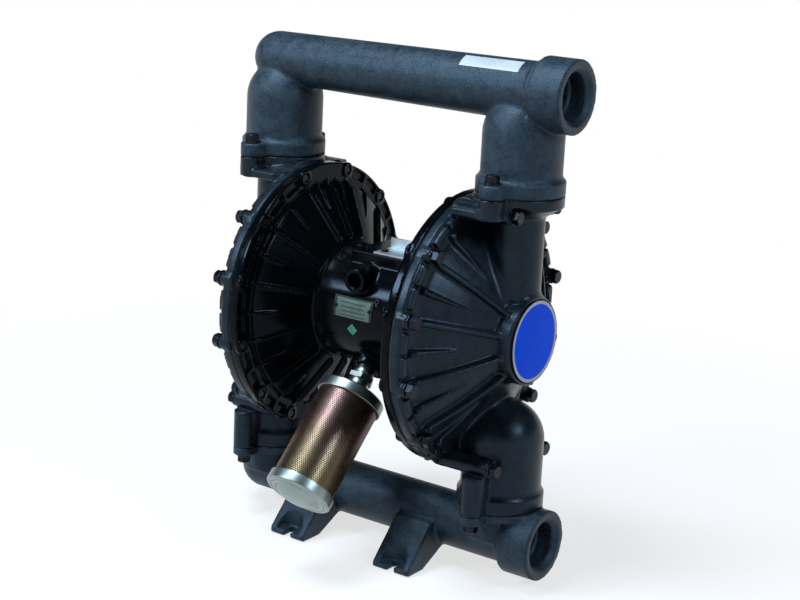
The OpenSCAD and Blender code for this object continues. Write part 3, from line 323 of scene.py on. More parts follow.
@dataclass(frozen=True)
class PlateFinish(DrawnFinish):
    """Blank rating plate: an engraved frame and ruled fields, with nothing written in them."""

    half_width: float = 0.0265
    top: float = 0.0245
    row: float = 0.0055
    line: str = "#222b28"

    def marks(self, tree: Tree, offset: Socket) -> list[tuple[Socket, str]]:
        """Masks of the rules between the rows and of the frame's sides and top.

        Args:
            tree: material node tree.
            offset: place from the plate's foot.

        Returns:
            Mask sockets with their colour.
        """
        parts = add_node(tree, "ShaderNodeSeparateXYZ", Vector=offset)
        across = add_node(tree, "ShaderNodeMath", {"operation": "ABSOLUTE"}, i0=parts.outputs["X"]).outputs[0]
        high = parts.outputs["Z"]
        rule = add_node(tree, "ShaderNodeMath", {"operation": "PINGPONG"}, i0=high, i1=self.row / 2).outputs[0]
        ruled, outside, over, inside = (
            add_node(tree, "ShaderNodeMath", {"operation": how}, i0=value, i1=limit).outputs[0]
            for how, value, limit in (
                ("GREATER_THAN", rule, self.row * 0.4),
                ("GREATER_THAN", across, self.half_width),
                ("GREATER_THAN", high, self.top),
                ("LESS_THAN", across, self.half_width * 0.74),
            )
        )
        rules = add_node(tree, "ShaderNodeMath", {"operation": "MULTIPLY"}, i0=ruled, i1=inside).outputs[0]
        return [(mark, self.line) for mark in (rules, outside, over)]


@dataclass(frozen=True)
class LabelFinish(DrawnFinish):
    """Printed round label: blue field, silver ring and a thin black edge, with no lettering."""

    rings: tuple[tuple[float, str], ...] = ((0.048, "#c4c8cc"), (0.052, "#0b0d10"))

    def marks(self, tree: Tree, offset: Socket) -> list[tuple[Socket, str]]:
        """Masks of the rings by the distance from the label's centre.

        Args:
            tree: material node tree.
            offset: place from the label's centre.

        Returns:
            Mask sockets with their colour.
        """
        flat = add_node(tree, "ShaderNodeVectorMath", {"operation": "MULTIPLY"}, i0=offset, i1=Vector((0, 1, 1)))
        radius = add_node(tree, "ShaderNodeVectorMath", {"operation": "LENGTH"}, i0=flat.outputs[0]).outputs["Value"]
        return [
            (add_node(tree, "ShaderNodeMath", {"operation": "GREATER_THAN"}, i0=radius, i1=limit).outputs[0], code)
            for limit, code in self.rings
        ]


FINISHES = {
    # Epoxy powder coat over sand-cast aluminium: satin blue-black with a coarse grain
    "cast": Finish(
        "cast_epoxy_coat", "#35444f", "#11181d", 0.43, mottle_mm=18, bump_mm=2.4, bump_height_mm=0.6,
        specular=0.31, speckle=0.92, gloss_tint=SKY_TINT,
    ),
    # The same coat over the smoother covers: darker, with more gloss and less grain
    "cover": Finish(
        "smooth_epoxy_coat", "#1e2830", "#0c1115", 0.31, roughness_spread=0.06, mottle_mm=30, bump_mm=2.4,
        bump_height_mm=0.18, specular=0.26, speckle=0.75, gloss_tint=SKY_TINT,
    ),
    # Gloss stoving paint over die-cast aluminium: mirror-like, with a faint orange peel
    "paint": Finish(
        "gloss_black_paint", "#06080b", "#040507", 0.15, roughness_spread=0.03, mottle_mm=70, bump_mm=9,
        bump_height_mm=0.02, wave=Wave.ORANGE_PEEL, specular=0.1, gloss_tint=SKY_TINT,
    ),
    # Black zinc-nickel on forged steel bolts: metal under a dark film
    "bolt": Finish(
        "dark_zinc_plate", "#2b3037", "#1b1f25", 0.32, metallic=1.0, mottle_mm=6, bump_mm=0.8, bump_height_mm=0.03
    ),
    # Clear zinc on pressed steel: bright, a little blue, with soft clouds
    "zinc": Finish(
        "bright_zinc_plate", "#939e9b", "#87928e", 0.35, metallic=1.0, roughness_spread=0.02, mottle_mm=25,
        bump_mm=2.0, bump_height_mm=0.01,
    ),
    # Plated sheet: pale and even, duller than the caps
    "bracket": Finish(
        "plated_bracket_sheet", "#c3cdd0", "#b6c1c5", 0.5, metallic=1.0, roughness_spread=0.03, bump_mm=2.0,
        bump_height_mm=0.01,
    ),
    # Bright steel from the lathe: clean, with a fine grain
    "steel": Finish(
        "turned_steel", "#b6babd", "#989da1", 0.28, metallic=1.0, mottle_mm=20, bump_mm=0.9, bump_height_mm=0.02
    ),
    # Bare milled aluminium: a softer, greyer gleam than steel
    "alloy": Finish(
        "machined_aluminium", "#b4b7ba", "#9a9da1", 0.38, metallic=1.0, mottle_mm=25, bump_mm=1.2, bump_height_mm=0.03
    ),
    # Nitrile rubber from the mould: dull black
    "rubber": Finish(
        "moulded_nitrile_rubber", "#202022", "#161618", 0.72, mottle_mm=18, bump_mm=1.2, bump_height_mm=0.06,
        specular=0.35,
    ),
    # Pressed fibre sheet: flat dark grey
    "gasket": Finish(
        "pressed_gasket_fibre", "#3c3c3d", "#2a2a2b", 0.85, mottle_mm=6, bump_mm=0.9, bump_height_mm=0.08, specular=0.3
    ),
    # Ground elastomer: off-white with a low sheen
    "ball": Finish(
        "ground_ball_elastomer", "#dcd9cf", "#cbc7ba", 0.42, mottle_mm=16, bump_mm=1.0, bump_height_mm=0.03
    ),
    # Acetal bearings: honey-coloured plastic
    "bearing": Finish("acetal_bearing", "#cbb377", "#bba265", 0.45, mottle_mm=14, bump_mm=1.0, bump_height_mm=0.02),
    # Moulded acetal: cream, slightly waxy
    "valve": Finish("moulded_acetal", "#d8d2c0", "#c8c1ad", 0.4, mottle_mm=16, bump_mm=1.0, bump_height_mm=0.02),
    # Wool felt behind the perforations, matt; its dark colour is partly painted shade, so that the holes look shaded
    # inside
    "felt": Finish(
        "sound_felt", "#4a443a", "#2c2822", 0.95, mottle_mm=3, bump_mm=0.8, bump_height_mm=0.25, specular=0.2
    ),
    # Vinyl foil, white and green: smooth and even
    "sticker": Finish("white_vinyl_sticker", "#b2babe", "#a7b0b5", 0.35, mottle_mm=30, wave=Wave.NONE),
    "diamond": Finish("green_vinyl_label", "#2f9a6c", "#238257", 0.3, mottle_mm=5, wave=Wave.NONE),
}


# -------- sizes


@dataclass(frozen=True)
class Layout:
    """Sizes that the pump's castings share, in millimetres, as in the part's source."""

    pump_z: float = 320.0
    leg_x: float = 187.4
    outlet_joint_z: float = 504.0
    inlet_joint_z: float = 99.0
    outlet_tube_z: float = 629.0
    inlet_tube_z: float = 56.0
    joint_x: float = 126.0
    rim_r: float = 177.0
    rim_t: float = 13.5
    air_rim_t: float = 13.0
    bolt_circle_r: float = 169.0
    side_bolt_step: float = 28.8
    top_bolt_angle: float = 15.5
    bottom_bolt_angle: float = 20.5
    bolt_hole_r: float = 5.3
    bolt_boss_r: float = 10.0
    bolt_seat_x: float = 146.5
    long_boss_x: float = 207.0
    air_boss_x: float = 111.0
    lug_y: float = 66.0
    lug_r: float = 15.0
    flange_r: float = 56.0
    ball_bore_r: float = 45.0
    port_face_x: float = 258.5
    housing_x: float = 63.0
    housing_r: float = 78.0
    hub_boss_x: float = 221.0
    disc_r: float = 53.8
    disc_t: float = 2.5
    dome_root_r: float = 150.0
    dome_h: float = 76.0
    hub_boss_r: float = 57.0
    cover_wall: float = 7.0
    washer_r: float = 10.5
    washer_t: float = 2.5
    head_h: float = 9.0
    hex_r: float = 9.24
    rim_bar_w: float = 10.0
    lug_tap_l: float = 20.0
    lower_tap_l: float = 32.0
    upper_lug_h: float = 25.5

    @property
    def rim_face_x(self) -> float:
        """Outer face of the fluid cover's rim."""
        return self.joint_x + self.rim_t

    @property
    def side_angles(self) -> list[float]:
        """Angles of one side's short bolts from the vertical."""
        return [90 + self.side_bolt_step * (i - 1.5) for i in range(4)]

    @property
    def long_angles(self) -> list[float]:
        """Angles of one side's long bolts from the vertical."""
        return [self.top_bolt_angle, 180 - self.bottom_bolt_angle]

    @property
    def half_angles(self) -> list[float]:
        """All bolt angles of one side, from top to bottom."""
        return [self.long_angles[0], *self.side_angles, self.long_angles[1]]

    def dome_x(self, radius: Array | float) -> Array:
        """Distance of the dome's surface from the pump's middle at a radius."""
        share = np.clip(np.asarray(radius, np.float32), 0, self.dome_root_r) / self.dome_root_r
        return self.rim_face_x + self.dome_h * (1 - share**1.6)


PUMP = Layout()


# -------- distance fields


def smooth_min(first: Array, second: Array, width: float) -> Array:
    """Joins two distance fields with a fillet about as wide as given."""
    share = np.clip(0.5 + 0.5 * (second - first) / width, 0, 1)
    return second + (first - second) * share - width * share * (1 - share)


def smooth_max(first: Array, second: Array, width: float) -> Array:
    """Cuts one distance field by another with a rounded edge."""
    return -smooth_min(-first, -second, width)


def rounded(first: Array, second: Array, radius: float) -> Array:
    """Distance to where two bounds meet, with the outer edge rounded."""
    a, b = first + radius, second + radius
    return np.minimum(np.maximum(a, b), 0) + np.hypot(np.maximum(a, 0), np.maximum(b, 0)) - radius


def beside(p: Array, start: Point, end: Point) -> tuple[Array, Array, float]:
    """Places of points along and across the line between two points.

    Args:
        p: points, one a row.
        start: one end of the line.
        end: its other end.

    Returns:
        Distance along the line, distance from it, and its length.
    """
    a, b = np.array(start, np.float32), np.array(end, np.float32)
    length = float(np.linalg.norm(b - a))
    rel = p - a
    along = rel @ ((b - a) / length)
    return along, np.sqrt(np.maximum(np.einsum("ij,ij->i", rel, rel) - along**2, 0)), length


def rod(p: Array, start: Point, end: Point, radius: float, edge: float = 0.8) -> Array:
    """Distance to a round bar between two points, with rounded end edges."""
    along, across, length = beside(p, start, end)
    return rounded(across - radius, np.abs(along - length / 2) - length / 2, edge)


def taper(p: Array, start: Point, end: Point, r_start: float, r_end: float, edge: float = 0.8) -> Array:
    """Distance to a round bar whose radius changes between its ends.

    Args:
        p: points, one a row.
        start: centre of one end.
        end: centre of the other end.
        r_start: radius at the start.
        r_end: radius at the end.
        edge: rounding of the end edges.

    Returns:
        Signed distances.
    """
    along, across, length = beside(p, start, end)
    slope = (r_end - r_start) / length
    side = (across - (r_start + slope * along)) / math.sqrt(1 + slope * slope)
    return rounded(side, np.abs(along - length / 2) - length / 2, edge)


def bars(p: Array, *rods: tuple[Point, Point, float]) -> Array:
    """Distance to the nearest of several sharp-edged round bars.

    Args:
        p: points, one a row.
        *rods: both ends and the radius of each bar.

    Returns:
        Signed distances.
    """
    return functools.reduce(np.minimum, (rod(p, a, b, r, 0) for a, b, r in rods))


def threaded(along: Array, across: Array, radius: float, pitch: float, depth: float) -> Array:
    """Distance to a threaded bore, its crests drawn as rings at the thread's pitch.

    Args:
        along: distance along the bore.
        across: distance from its axis.
        radius: radius at the crests.
        pitch: distance between two crests.
        depth: depth of the thread.

    Returns:
        Signed distances of a bore without ends.
    """
    ridge = depth * np.abs(((along / pitch) % 1) - 0.5) * 2
    return across - radius + ridge - depth


def ball(p: Array, centre: Point, radius: float) -> Array:
    """Distance to a sphere."""
    return np.linalg.norm(p - np.array(centre, np.float32), axis=1) - radius


def block(p: Array, low: Point, high: Point, edge: float = 0.8) -> Array:
    """Distance to a box with rounded edges between two corners.

    Args:
        p: points, one a row.
        low: corner with the lowest coordinates.
        high: opposite corner.
        edge: rounding of the edges.

    Returns:
        Signed distances.
    """
    lo, hi = np.array(low, np.float32), np.array(high, np.float32)
    q = np.abs(p - (lo + hi) / 2) - (hi - lo) / 2 + edge
    return np.linalg.norm(np.maximum(q, 0), axis=1) + np.minimum(q.max(axis=1), 0) - edge


def outline(u: Array, v: Array, corners: Corners) -> Array:
    """Signed distance to a flat polygon.

    Args:
        u: first coordinate of the points.
        v: second coordinate of the points.
        corners: the polygon's corners in order.

    Returns:
        Signed distances, negative inside.
    """
    pts = np.array(corners, np.float32)
    best = np.full(len(u), 1e12, np.float32)
    inside = np.zeros(len(u), bool)
    for (ax, ay), (bx, by) in zip(pts, np.roll(pts, -1, axis=0)):
        ex, ey = bx - ax, by - ay
        share = np.clip(((u - ax) * ex + (v - ay) * ey) / max(ex * ex + ey * ey, 1e-9), 0, 1)
        best = np.minimum(best, (u - ax - share * ex) ** 2 + (v - ay - share * ey) ** 2)
        if ay != by:
            inside ^= ((ay > v) != (by > v)) & (u < ax + (v - ay) * ex / (by - ay))
    return np.where(inside, -1, 1) * np.sqrt(best)


# Cells along a block of the grid, and blocks that are sampled at once
BLOCK_CELLS = 8
BATCH = 1200
# Half the diagonal of a block and a little more, as a share of its side
BLOCK_REACH = 0.88
# Distance that stands for far away, and the step for the field's slope
FAR = 1e3
NUDGE = np.float32(0.2)


@dataclass
class Casting:
    """A casting that is meshed from its distance field."""

    low: Point
    high: Point
    step: float = 2.42

    def distance(self, p: Array) -> Array:
        """Signed distance of points to the casting's surface, in millimetres."""
        raise NotImplementedError

    def sample(self) -> tuple[Array, Array]:
        """Samples the field on a grid, in full only near the surface.

        Returns:
            The grid of distances and the place of its first node.
        """
        origin = np.array(self.low, np.float32) - 2 * self.step
        span = np.array(self.high, np.float32) + 2 * self.step - origin
        blocks = np.ceil(span / self.step / BLOCK_CELLS).astype(int)
        grid = np.full(blocks * BLOCK_CELLS + 1, FAR, np.float32)
        corners = np.stack(np.meshgrid(*[np.arange(n) for n in blocks], indexing="ij"), -1).reshape(-1, 3)
        size = BLOCK_CELLS * self.step
        middle = self.distance(origin + (corners + 0.5) * np.float32(size))
        for (i, j, k), value in zip(corners * BLOCK_CELLS, middle):
            if value < 0:
                grid[i : i + BLOCK_CELLS + 1, j : j + BLOCK_CELLS + 1, k : k + BLOCK_CELLS + 1] = -FAR
        near = corners[np.abs(middle) < size * BLOCK_REACH + self.step]
        local = np.stack(np.meshgrid(*[np.arange(BLOCK_CELLS + 1)] * 3, indexing="ij"), -1).reshape(-1, 3)
        for first in range(0, len(near), BATCH):
            some = near[first : first + BATCH]
            index = (some[:, None, :] * BLOCK_CELLS + local[None]).reshape(-1, 3)
            value = self.distance(origin + index.astype(np.float32) * np.float32(self.step))
            grid[index[:, 0], index[:, 1], index[:, 2]] = value
        return grid, origin

    def skin(self) -> tuple[Array, Array]:
        """Finds the surface as quads and draws its points onto the exact field.

        Returns:
            Points in millimetres and quads with outward order.
        """
        grid, origin = self.sample()
        inside = grid < 0
        nx, ny, nz = (n - 1 for n in inside.shape)
        count = sum(
            inside[i : nx + i, j : ny + j, k : nz + k].astype(np.int8)
            for i, j, k in itertools.product((0, 1), repeat=3)
        )
        mixed = (count > 0) & (count < 8)
        number = np.full(mixed.shape, -1, np.int64)
        number[mixed] = np.arange(int(mixed.sum()))
        cells = np.argwhere(mixed)
        total = np.zeros((len(cells), 3), np.float32)
        hits = np.zeros(len(cells), np.float32)
        for axis, s, t in itertools.product(range(3), (0, 1), (0, 1)):
            start = np.insert(np.array([s, t]), axis, 0)
            stop = np.insert(np.array([s, t]), axis, 1)
            a, b = grid[tuple((cells + start).T)], grid[tuple((cells + stop).T)]
            cross = (a < 0) != (b < 0)
            spot = start.astype(np.float32)[None].repeat(len(cells), 0)
            spot[:, axis] = np.where(cross, a / np.where(cross, a - b, 1), 0)
            total += spot * cross[:, None]
            hits += cross
        points = origin + (cells + total / hits[:, None]) * self.step
        quads = []
        for axis in range(3):
            u, v = [(1, 2), (2, 0), (0, 1)][axis]
            head = [slice(1, -1)] * 3
            tail = [slice(1, -1)] * 3
            head[axis], tail[axis] = slice(0, -1), slice(1, None)
            a, b = inside[tuple(head)], inside[tuple(tail)]
            spots = np.argwhere(a != b)
            leaves = a[tuple(spots.T)]
            base = spots.copy()
            base[:, [u, v]] += 1
            ring = []
            for du, dv in ((-1, -1), (0, -1), (0, 0), (-1, 0)):
                cell = base.copy()
                cell[:, [u, v]] += (du, dv)
                ring.append(number[tuple(cell.T)])
            quad = np.stack(ring, 1)
            quad[~leaves] = quad[~leaves][:, ::-1]
            quads.append(quad)
        return self.settle(points.astype(np.float32)), np.concatenate(quads)

    def settle(self, points: Array) -> Array:
        """Moves points along the field's slope until they lie on the surface.

        Args:
            points: points close to the surface.

        Returns:
            The points after three short moves.
        """
        for _ in range(3):
            value = self.distance(points)
            shifts = NUDGE * np.eye(3, dtype=np.float32)
            slope = np.stack([(self.distance(points + shift) - value) / NUDGE for shift in shifts], 1)
            norm = np.maximum(np.einsum("ij,ij->i", slope, slope), 0.25)
            move = slope * (value / norm)[:, None]
            length = np.linalg.norm(move, axis=1)
            move *= np.minimum(1, 0.35 * self.step / np.maximum(length, 1e-6))[:, None]
            points = points - move
        return points


def quad_mesh(name: str, points: Array, quads: Array, side: Side = Side.RIGHT) -> Mesh:
    """Makes a smooth mesh from points in millimetres, mirrored for the left side.

    Args:
        name: name of the mesh.
        points: points in millimetres.
        quads: point numbers of each face.
        side: side of the pump.

    Returns:
        The mesh, in metres.
    """
    points = points * MM
    if side is Side.LEFT:
        points = points * np.array([-1, 1, 1], np.float32)
        quads = quads[:, ::-1]
    mesh = bpy.data.meshes.new(name)
    mesh.vertices.add(len(points))
    mesh.vertices.foreach_set("co", points.astype(np.float32).ravel())
    mesh.loops.add(quads.size)
    mesh.loops.foreach_set("vertex_index", quads.astype(np.int32).ravel())
    mesh.polygons.add(len(quads))
    mesh.polygons.foreach_set("loop_start", np.arange(0, quads.size, 4, dtype=np.int32))
    mesh.update(calc_edges=True)
    mesh.validate()
    mesh.shade_smooth()
    return mesh


# -------- castings

# Rounding of the flanges' machined edges
CAST_EDGE = 1.3
# Makes the distance to a surface at 45 degrees true
SLANT = math.sqrt(0.5)
# The manifolds' passages and ports
PASSAGE_R = 26.0
PORT_THREAD_R = 29.0
PORT_THREAD_L = 28.0
PORT_COLLAR_R = 45.7
PORT_CHAMFER = 7.0
# The screws between an air cover and the centre housing
HUB_SCREW_R = 62.0
HUB_SCREW_TURNS = [60 * (i + 0.5) for i in range(6)]


def lugged(p: Array, flange: Array, x0: float, low: float, high: float) -> Array:
    """Adds the two bolt lugs of a flange, with the arms that carry them.

    Args:
        p: points, one a row.
        flange: distances to the flange.
        x0: place of the flange's axis.
        low: height of the lugs' underside.
        high: height of their top.

    Returns:
        Signed distances.
    """
    for y in (-PUMP.lug_y, PUMP.lug_y):
        lug = rod(p, (x0, y, low), (x0, y, high), PUMP.lug_r, CAST_EDGE)
        arm = block(p, (x0 - PUMP.lug_r, min(0, y), low), (x0 + PUMP.lug_r, max(0, y), high), CAST_EDGE)
        flange = smooth_min(flange, smooth_min(lug, arm, 1.0), 2.5)
    return flange


def polar(p: Array, angle: float) -> tuple[Array, Array]:
    """Coordinates along and across a spoke of the diaphragm axis.

    Args:
        p: points.
        angle: the spoke's angle from the vertical, towards the front, in degrees.

    Returns:
        Distance outwards along the spoke, and distance to its side.
    """
    y, z = p[:, 1], p[:, 2] - PUMP.pump_z
    a = math.radians(angle)
    return -y * math.sin(a) + z * math.cos(a), y * math.cos(a) + z * math.sin(a)


def on_circle(angle: float, radius: float, x: float) -> Point:
    """Point at an angle from the vertical round the diaphragm axis."""
    a = math.radians(angle)
    return x, -radius * math.sin(a), PUMP.pump_z + radius * math.cos(a)


def rim_arcs(p: Array, wall: float, width: float, middle_r: float = 168.5) -> Array:
    """Distance in the plane of the rim to the arcs between the bolts, two for each pair of bolts.

    Args:
        p: points.
        wall: angle of the wall between the two arcs, in degrees.
        width: radial width of the arcs.
        middle_r: radius of the arcs' middle line.

    Returns:
        Signed distances that ignore X, with rounded corners.
    """
    y, z = np.abs(p[:, 1]), p[:, 2] - PUMP.pump_z
    turn = np.degrees(np.arctan2(y, z))
    radius = np.hypot(y, z)
    span = np.full(len(p), FAR, np.float32)
    for first, last in zip(PUMP.half_angles, PUMP.half_angles[1:]):
        middle = (first + last) / 2
        for low, high in ((first + 5, middle - wall / 2), (middle + wall / 2, last - 5)):
            half = (high - low) / 2
            span = np.minimum(span, (np.abs(turn - low - half) - half) * np.float32(math.pi / 180 * PUMP.bolt_circle_r))
    return rounded(np.abs(radius - middle_r) - width / 2, span, 1.6)


@dataclass
class FluidCover(Casting):
    """Ribbed fluid cover with its upper neck, ball chamber and flanges, on the right side."""

    low: Point = (126.0, -177.0, 99.0)
    high: Point = (243.4, 177.0, 504.0)
    rib_h: float = 11.0
    rib_t: float = 7.0
    neck_r: float = 34.0
    neck_bore_r: float = 25.0
    chamber_r: float = 52.0
    chamber_top_z: float = 185.0
    lower_lug_h: float = 52.0
    rib_fillet: float = 2.0
    rib_root: float = 6.0
    slope_share: float = 0.86

    def distance(self, p: Array) -> Array:
        """Signed distance of points to the cover's surface.

        Args:
            p: points, one a row.

        Returns:
            Signed distances.
        """
        x, y, z = p[:, 0], p[:, 1], p[:, 2]
        radius = np.hypot(y, z - PUMP.pump_z)
        body = self.shell(x, radius, p)
        body = smooth_min(body, self.necks(p), 9.0)
        for sign in BOTH:
            for angle in PUMP.side_angles:
                body = smooth_min(body, self.rib(p, sign * angle), self.rib_fillet)
            for a, b in zip(PUMP.half_angles, PUMP.half_angles[1:]):
                body = smooth_min(body, self.short_rib(p, sign * (a + b) / 2), self.rib_fillet)
        body = smooth_min(body, rounded(rim_arcs(p, 1.4, PUMP.rim_bar_w), np.abs(x - 139.5) - 6, 1.0), 1.6)
        body = self.bosses(p, body)
        body = smooth_min(body, smooth_min(self.flanges(p), self.shelf(p), 4.0), 3.0)
        return smooth_max(body, -self.hollow(x, radius, p), 1.0)

    def shell(self, x: Array, radius: Array, p: Array) -> Array:
        """Rim, dome and round centre boss.

        Args:
            x: distance of the points from the pump's middle.
            radius: their distance from the diaphragm axis.
            p: the points, one a row.

        Returns:
            Signed distances.
        """
        centre = PUMP.pump_z
        rim = rod(p, (PUMP.joint_x, 0, centre), (PUMP.rim_face_x, 0, centre), PUMP.rim_r, 1.6)
        radii = np.linspace(PUMP.dome_root_r, 0, 13)
        curve = [(float(r), float(PUMP.dome_x(r))) for r in radii]
        dome = outline(radius, x, [(-60, PUMP.joint_x + 2), (PUMP.dome_root_r, PUMP.joint_x + 2), *curve,
                                   (-60, PUMP.rim_face_x + PUMP.dome_h)])
        boss = rod(p, (150, 0, centre), (PUMP.hub_boss_x, 0, centre), PUMP.hub_boss_r, 2.0)
        return smooth_min(smooth_min(rim, dome, 5.0), boss, 5.0)

    def rib(self, p: Array, angle: float) -> Array:
        """Full rib from a side bolt to the centre boss, with a rounded top.

        Args:
            p: points, one a row.
            angle: its bolt's angle from the vertical, in degrees.

        Returns:
            Signed distances.
        """
        out, across = polar(p, angle)
        top = np.minimum(PUMP.dome_x(out) + self.rib_h, np.where(out > 156.5, PUMP.bolt_seat_x - 0.7, FAR))
        side = (np.abs(across) - self.rib_t / 2 - 0.6 + np.clip(p[:, 0] - PUMP.dome_x(out), 0, 12) * 0.13) * 0.98
        fin = smooth_max(side, (p[:, 0] - top) * self.slope_share, self.rib_fillet)
        ends = np.maximum(PUMP.hub_boss_r - 6 - out, out - 164)
        return np.maximum(np.maximum(fin, ends), PUMP.dome_x(out) - self.rib_root - p[:, 0])

    def short_rib(self, p: Array, angle: float) -> Array:
        """Short rib between two bolts that runs out to a point on the dome.

        Args:
            p: points, one a row.
            angle: its angle from the vertical, in degrees.

        Returns:
            Signed distances.
        """
        out, across = polar(p, angle)
        share = np.clip((158 - out) / 63, 0, 1)
        rise = np.clip(p[:, 0] - PUMP.dome_x(out), 0, 12)
        side = np.abs(across) - 3.4 * (1 - share) - 0.9 + rise * 0.1
        top = PUMP.dome_x(out) + self.rib_h * (1 - 0.85 * share)
        fin = smooth_max(side, (p[:, 0] - top) * self.slope_share, self.rib_fillet)
        return np.maximum(np.maximum(fin, np.abs(out - 126) - 33), PUMP.dome_x(out) - self.rib_root - p[:, 0])

    def shelf(self, p: Array) -> Array:
        """Shelf between the rim and the lugs of the upper flange, over the long bolts.

        Args:
            p: points, one a row.

        Returns:
            Signed distances.
        """
        edge, low = PUMP.lug_y + PUMP.lug_r - 1.5, PUMP.outlet_joint_z - PUMP.upper_lug_h
        corner = (PUMP.rim_face_x, edge)
        flat = outline(p[:, 0], np.abs(p[:, 1]), [(PUMP.joint_x + 1, -20), (PUMP.joint_x + 1, edge - 26), corner,
                                                  (PUMP.leg_x, edge), (PUMP.leg_x, -20)])
        return rounded(flat, np.abs(p[:, 2] - low - 5.4) - 5.3, 1.6)

    def bosses(self, p: Array, body: Array) -> Array:
        """Adds the bolt bosses with their webs to the body.

        Args:
            p: points, one a row.
            body: distances to the rest of the cover.

        Returns:
            Signed distances.
        """
        sets = (
            (PUMP.side_angles, PUMP.bolt_seat_x, PUMP.bolt_boss_r, 0.9, 2.5),
            (PUMP.long_angles, PUMP.long_boss_x, PUMP.bolt_boss_r + 1, 1.0, 5.0),
        )
        for sign in BOTH:
            for angles, far, radius, edge, fillet in sets:
                for angle in angles:
                    a, b = (on_circle(sign * angle, PUMP.bolt_circle_r, x) for x in (PUMP.joint_x + 2, far))
                    body = smooth_min(body, rod(p, a, b, radius, edge), fillet)
        _, y, z = on_circle(180 - PUMP.bottom_bolt_angle, PUMP.bolt_circle_r, 0)
        web = block(p, (PUMP.leg_x - 20, y, z - 5), (PUMP.long_boss_x - 3, -y, z + 5), 1.5)
        return smooth_min(body, web, 4.0)

    def necks(self, p: Array) -> Array:
        """Upper neck and the ball chamber under the dome.

        Args:
            p: points, one a row.

        Returns:
            Signed distances.
        """
        x0 = PUMP.leg_x
        neck = rod(p, (x0, 0, PUMP.pump_z + 55), (x0, 0, 496), self.neck_r, 1.0)
        chamber = rod(p, (x0, 0, PUMP.inlet_joint_z + 1), (x0, 0, self.chamber_top_z), self.chamber_r, 0.8)
        return np.minimum(neck, np.minimum(chamber, ball(p, (x0, 0, self.chamber_top_z), self.chamber_r)))

    def flanges(self, p: Array) -> Array:
        """Both flanges with their bolt lugs and the cone under the upper one.

        Args:
            p: points, one a row.

        Returns:
            Signed distances.
        """
        x0, top, foot, wide = PUMP.leg_x, PUMP.outlet_joint_z, PUMP.inlet_joint_z, PUMP.flange_r
        part = rod(p, (x0, 0, top - 15), (x0, 0, top), wide, CAST_EDGE)
        part = np.minimum(part, taper(p, (x0, 0, top - 29), (x0, 0, top - 13), self.neck_r - 1, wide, 0.5))
        part = smooth_min(part, rod(p, (x0, 0, foot), (x0, 0, foot + 19), wide, CAST_EDGE), 1.0)
        part = np.minimum(part, taper(p, (x0, 0, foot + 18), (x0, 0, foot + 25), wide, self.chamber_r - 1, 0.5))
        part = lugged(p, part, x0, top - PUMP.upper_lug_h, top)
        return lugged(p, part, x0, foot, foot + self.lower_lug_h)

    def hollow(self, x: Array, radius: Array, p: Array) -> Array:
        """The chamber, the passages and the bolt holes.

        Args:
            x: distance of the points from the pump's middle.
            radius: their distance from the diaphragm axis.
            p: the points, one a row.

        Returns:
            Signed distances of what is cut out.
        """
        x0, edge = PUMP.leg_x, PUMP.dome_root_r - PUMP.cover_wall
        floor_r = PUMP.hub_boss_r - 9
        curve = [(float(r), float(PUMP.dome_x(r + 2)) - PUMP.cover_wall) for r in np.linspace(edge - 3, floor_r, 8)]
        room = outline(radius, x, [(-60, 110), (edge, 110), (edge, PUMP.joint_x + 3), *curve,
                                   (-60, float(PUMP.dome_x(floor_r)) - PUMP.cover_wall)])
        room = np.minimum(room, ball(p, (x0, 0, self.chamber_top_z), PUMP.ball_bore_r))
        holes = [
            ((x0, 0, PUMP.pump_z + 49), (x0, 0, 510), self.neck_bore_r),
            ((x0, 0, 90), (x0, 0, self.chamber_top_z), PUMP.ball_bore_r),
        ]
        for sign in BOTH:
            for angle in PUMP.half_angles:
                long = angle in PUMP.long_angles
                seat = PUMP.long_boss_x if long else PUMP.bolt_seat_x
                near, mouth, face, far = (
                    on_circle(sign * angle, PUMP.bolt_circle_r, x) for x in (120, seat + 5, seat, seat + 30)
                )
                holes.append((near, mouth, PUMP.bolt_hole_r))
                if long:
                    holes.append((face, far, PUMP.washer_r + 0.7))
            y = sign * PUMP.lug_y
            holes += [((x0, y, low), (x0, y, high), PUMP.bolt_hole_r) for low, high in ((482, 510), (90, 133))]
        return np.minimum(room, bars(p, *holes))


def port_tube(p: Array, z: float, r_end: float, r_open: float) -> Array:
    """Outside of a manifold's tube with its round end, step and port collar.

    Args:
        p: points, one a row.
        z: height of the tube's axis.
        r_end: radius at the closed end.
        r_open: radius at the port end.

    Returns:
        Signed distances.
    """
    x1, face = -PUMP.leg_x - 10, PUMP.port_face_x
    tube = taper(p, (x1, 0, z), (face - 45, 0, z), r_end, r_open, 0.5)
    tube = np.minimum(tube, ball(p, (x1, 0, z), r_end))
    step = rod(p, (face - 53, 0, z), (face - 42, 0, z), r_open + 2.5, 1.0)
    collar = rod(p, (face - 45, 0, z), (face, 0, z), PORT_COLLAR_R, 1.1)
    return smooth_min(smooth_min(tube, step, 2.0), collar, 2.5)


def port_passage(p: Array, z: float) -> Array:
    """Inside of a manifold's tube with the threaded port and its chamfer.

    Args:
        p: points, one a row.
        z: height of the tube's axis.

    Returns:
        Signed distances.
    """
    face, end = PUMP.port_face_x, -PUMP.leg_x - 10
    bore = rod(p, (end, 0, z), (face + 5, 0, z), PASSAGE_R, 0)
    bore = np.minimum(bore, ball(p, (end, 0, z), PASSAGE_R))
    x, across = p[:, 0], np.hypot(p[:, 1], p[:, 2] - z)
    # A two-inch pipe thread has eleven and a half turns an inch
    thread = np.maximum(threaded(x, across, PORT_THREAD_R, 2.2, 0.55), face - PORT_THREAD_L - x)
    chamfer = (across - PORT_THREAD_R - (x - face + PORT_CHAMFER)) * SLANT
    return np.minimum(bore, np.minimum(thread, np.maximum(chamfer, face - PORT_CHAMFER - x)))


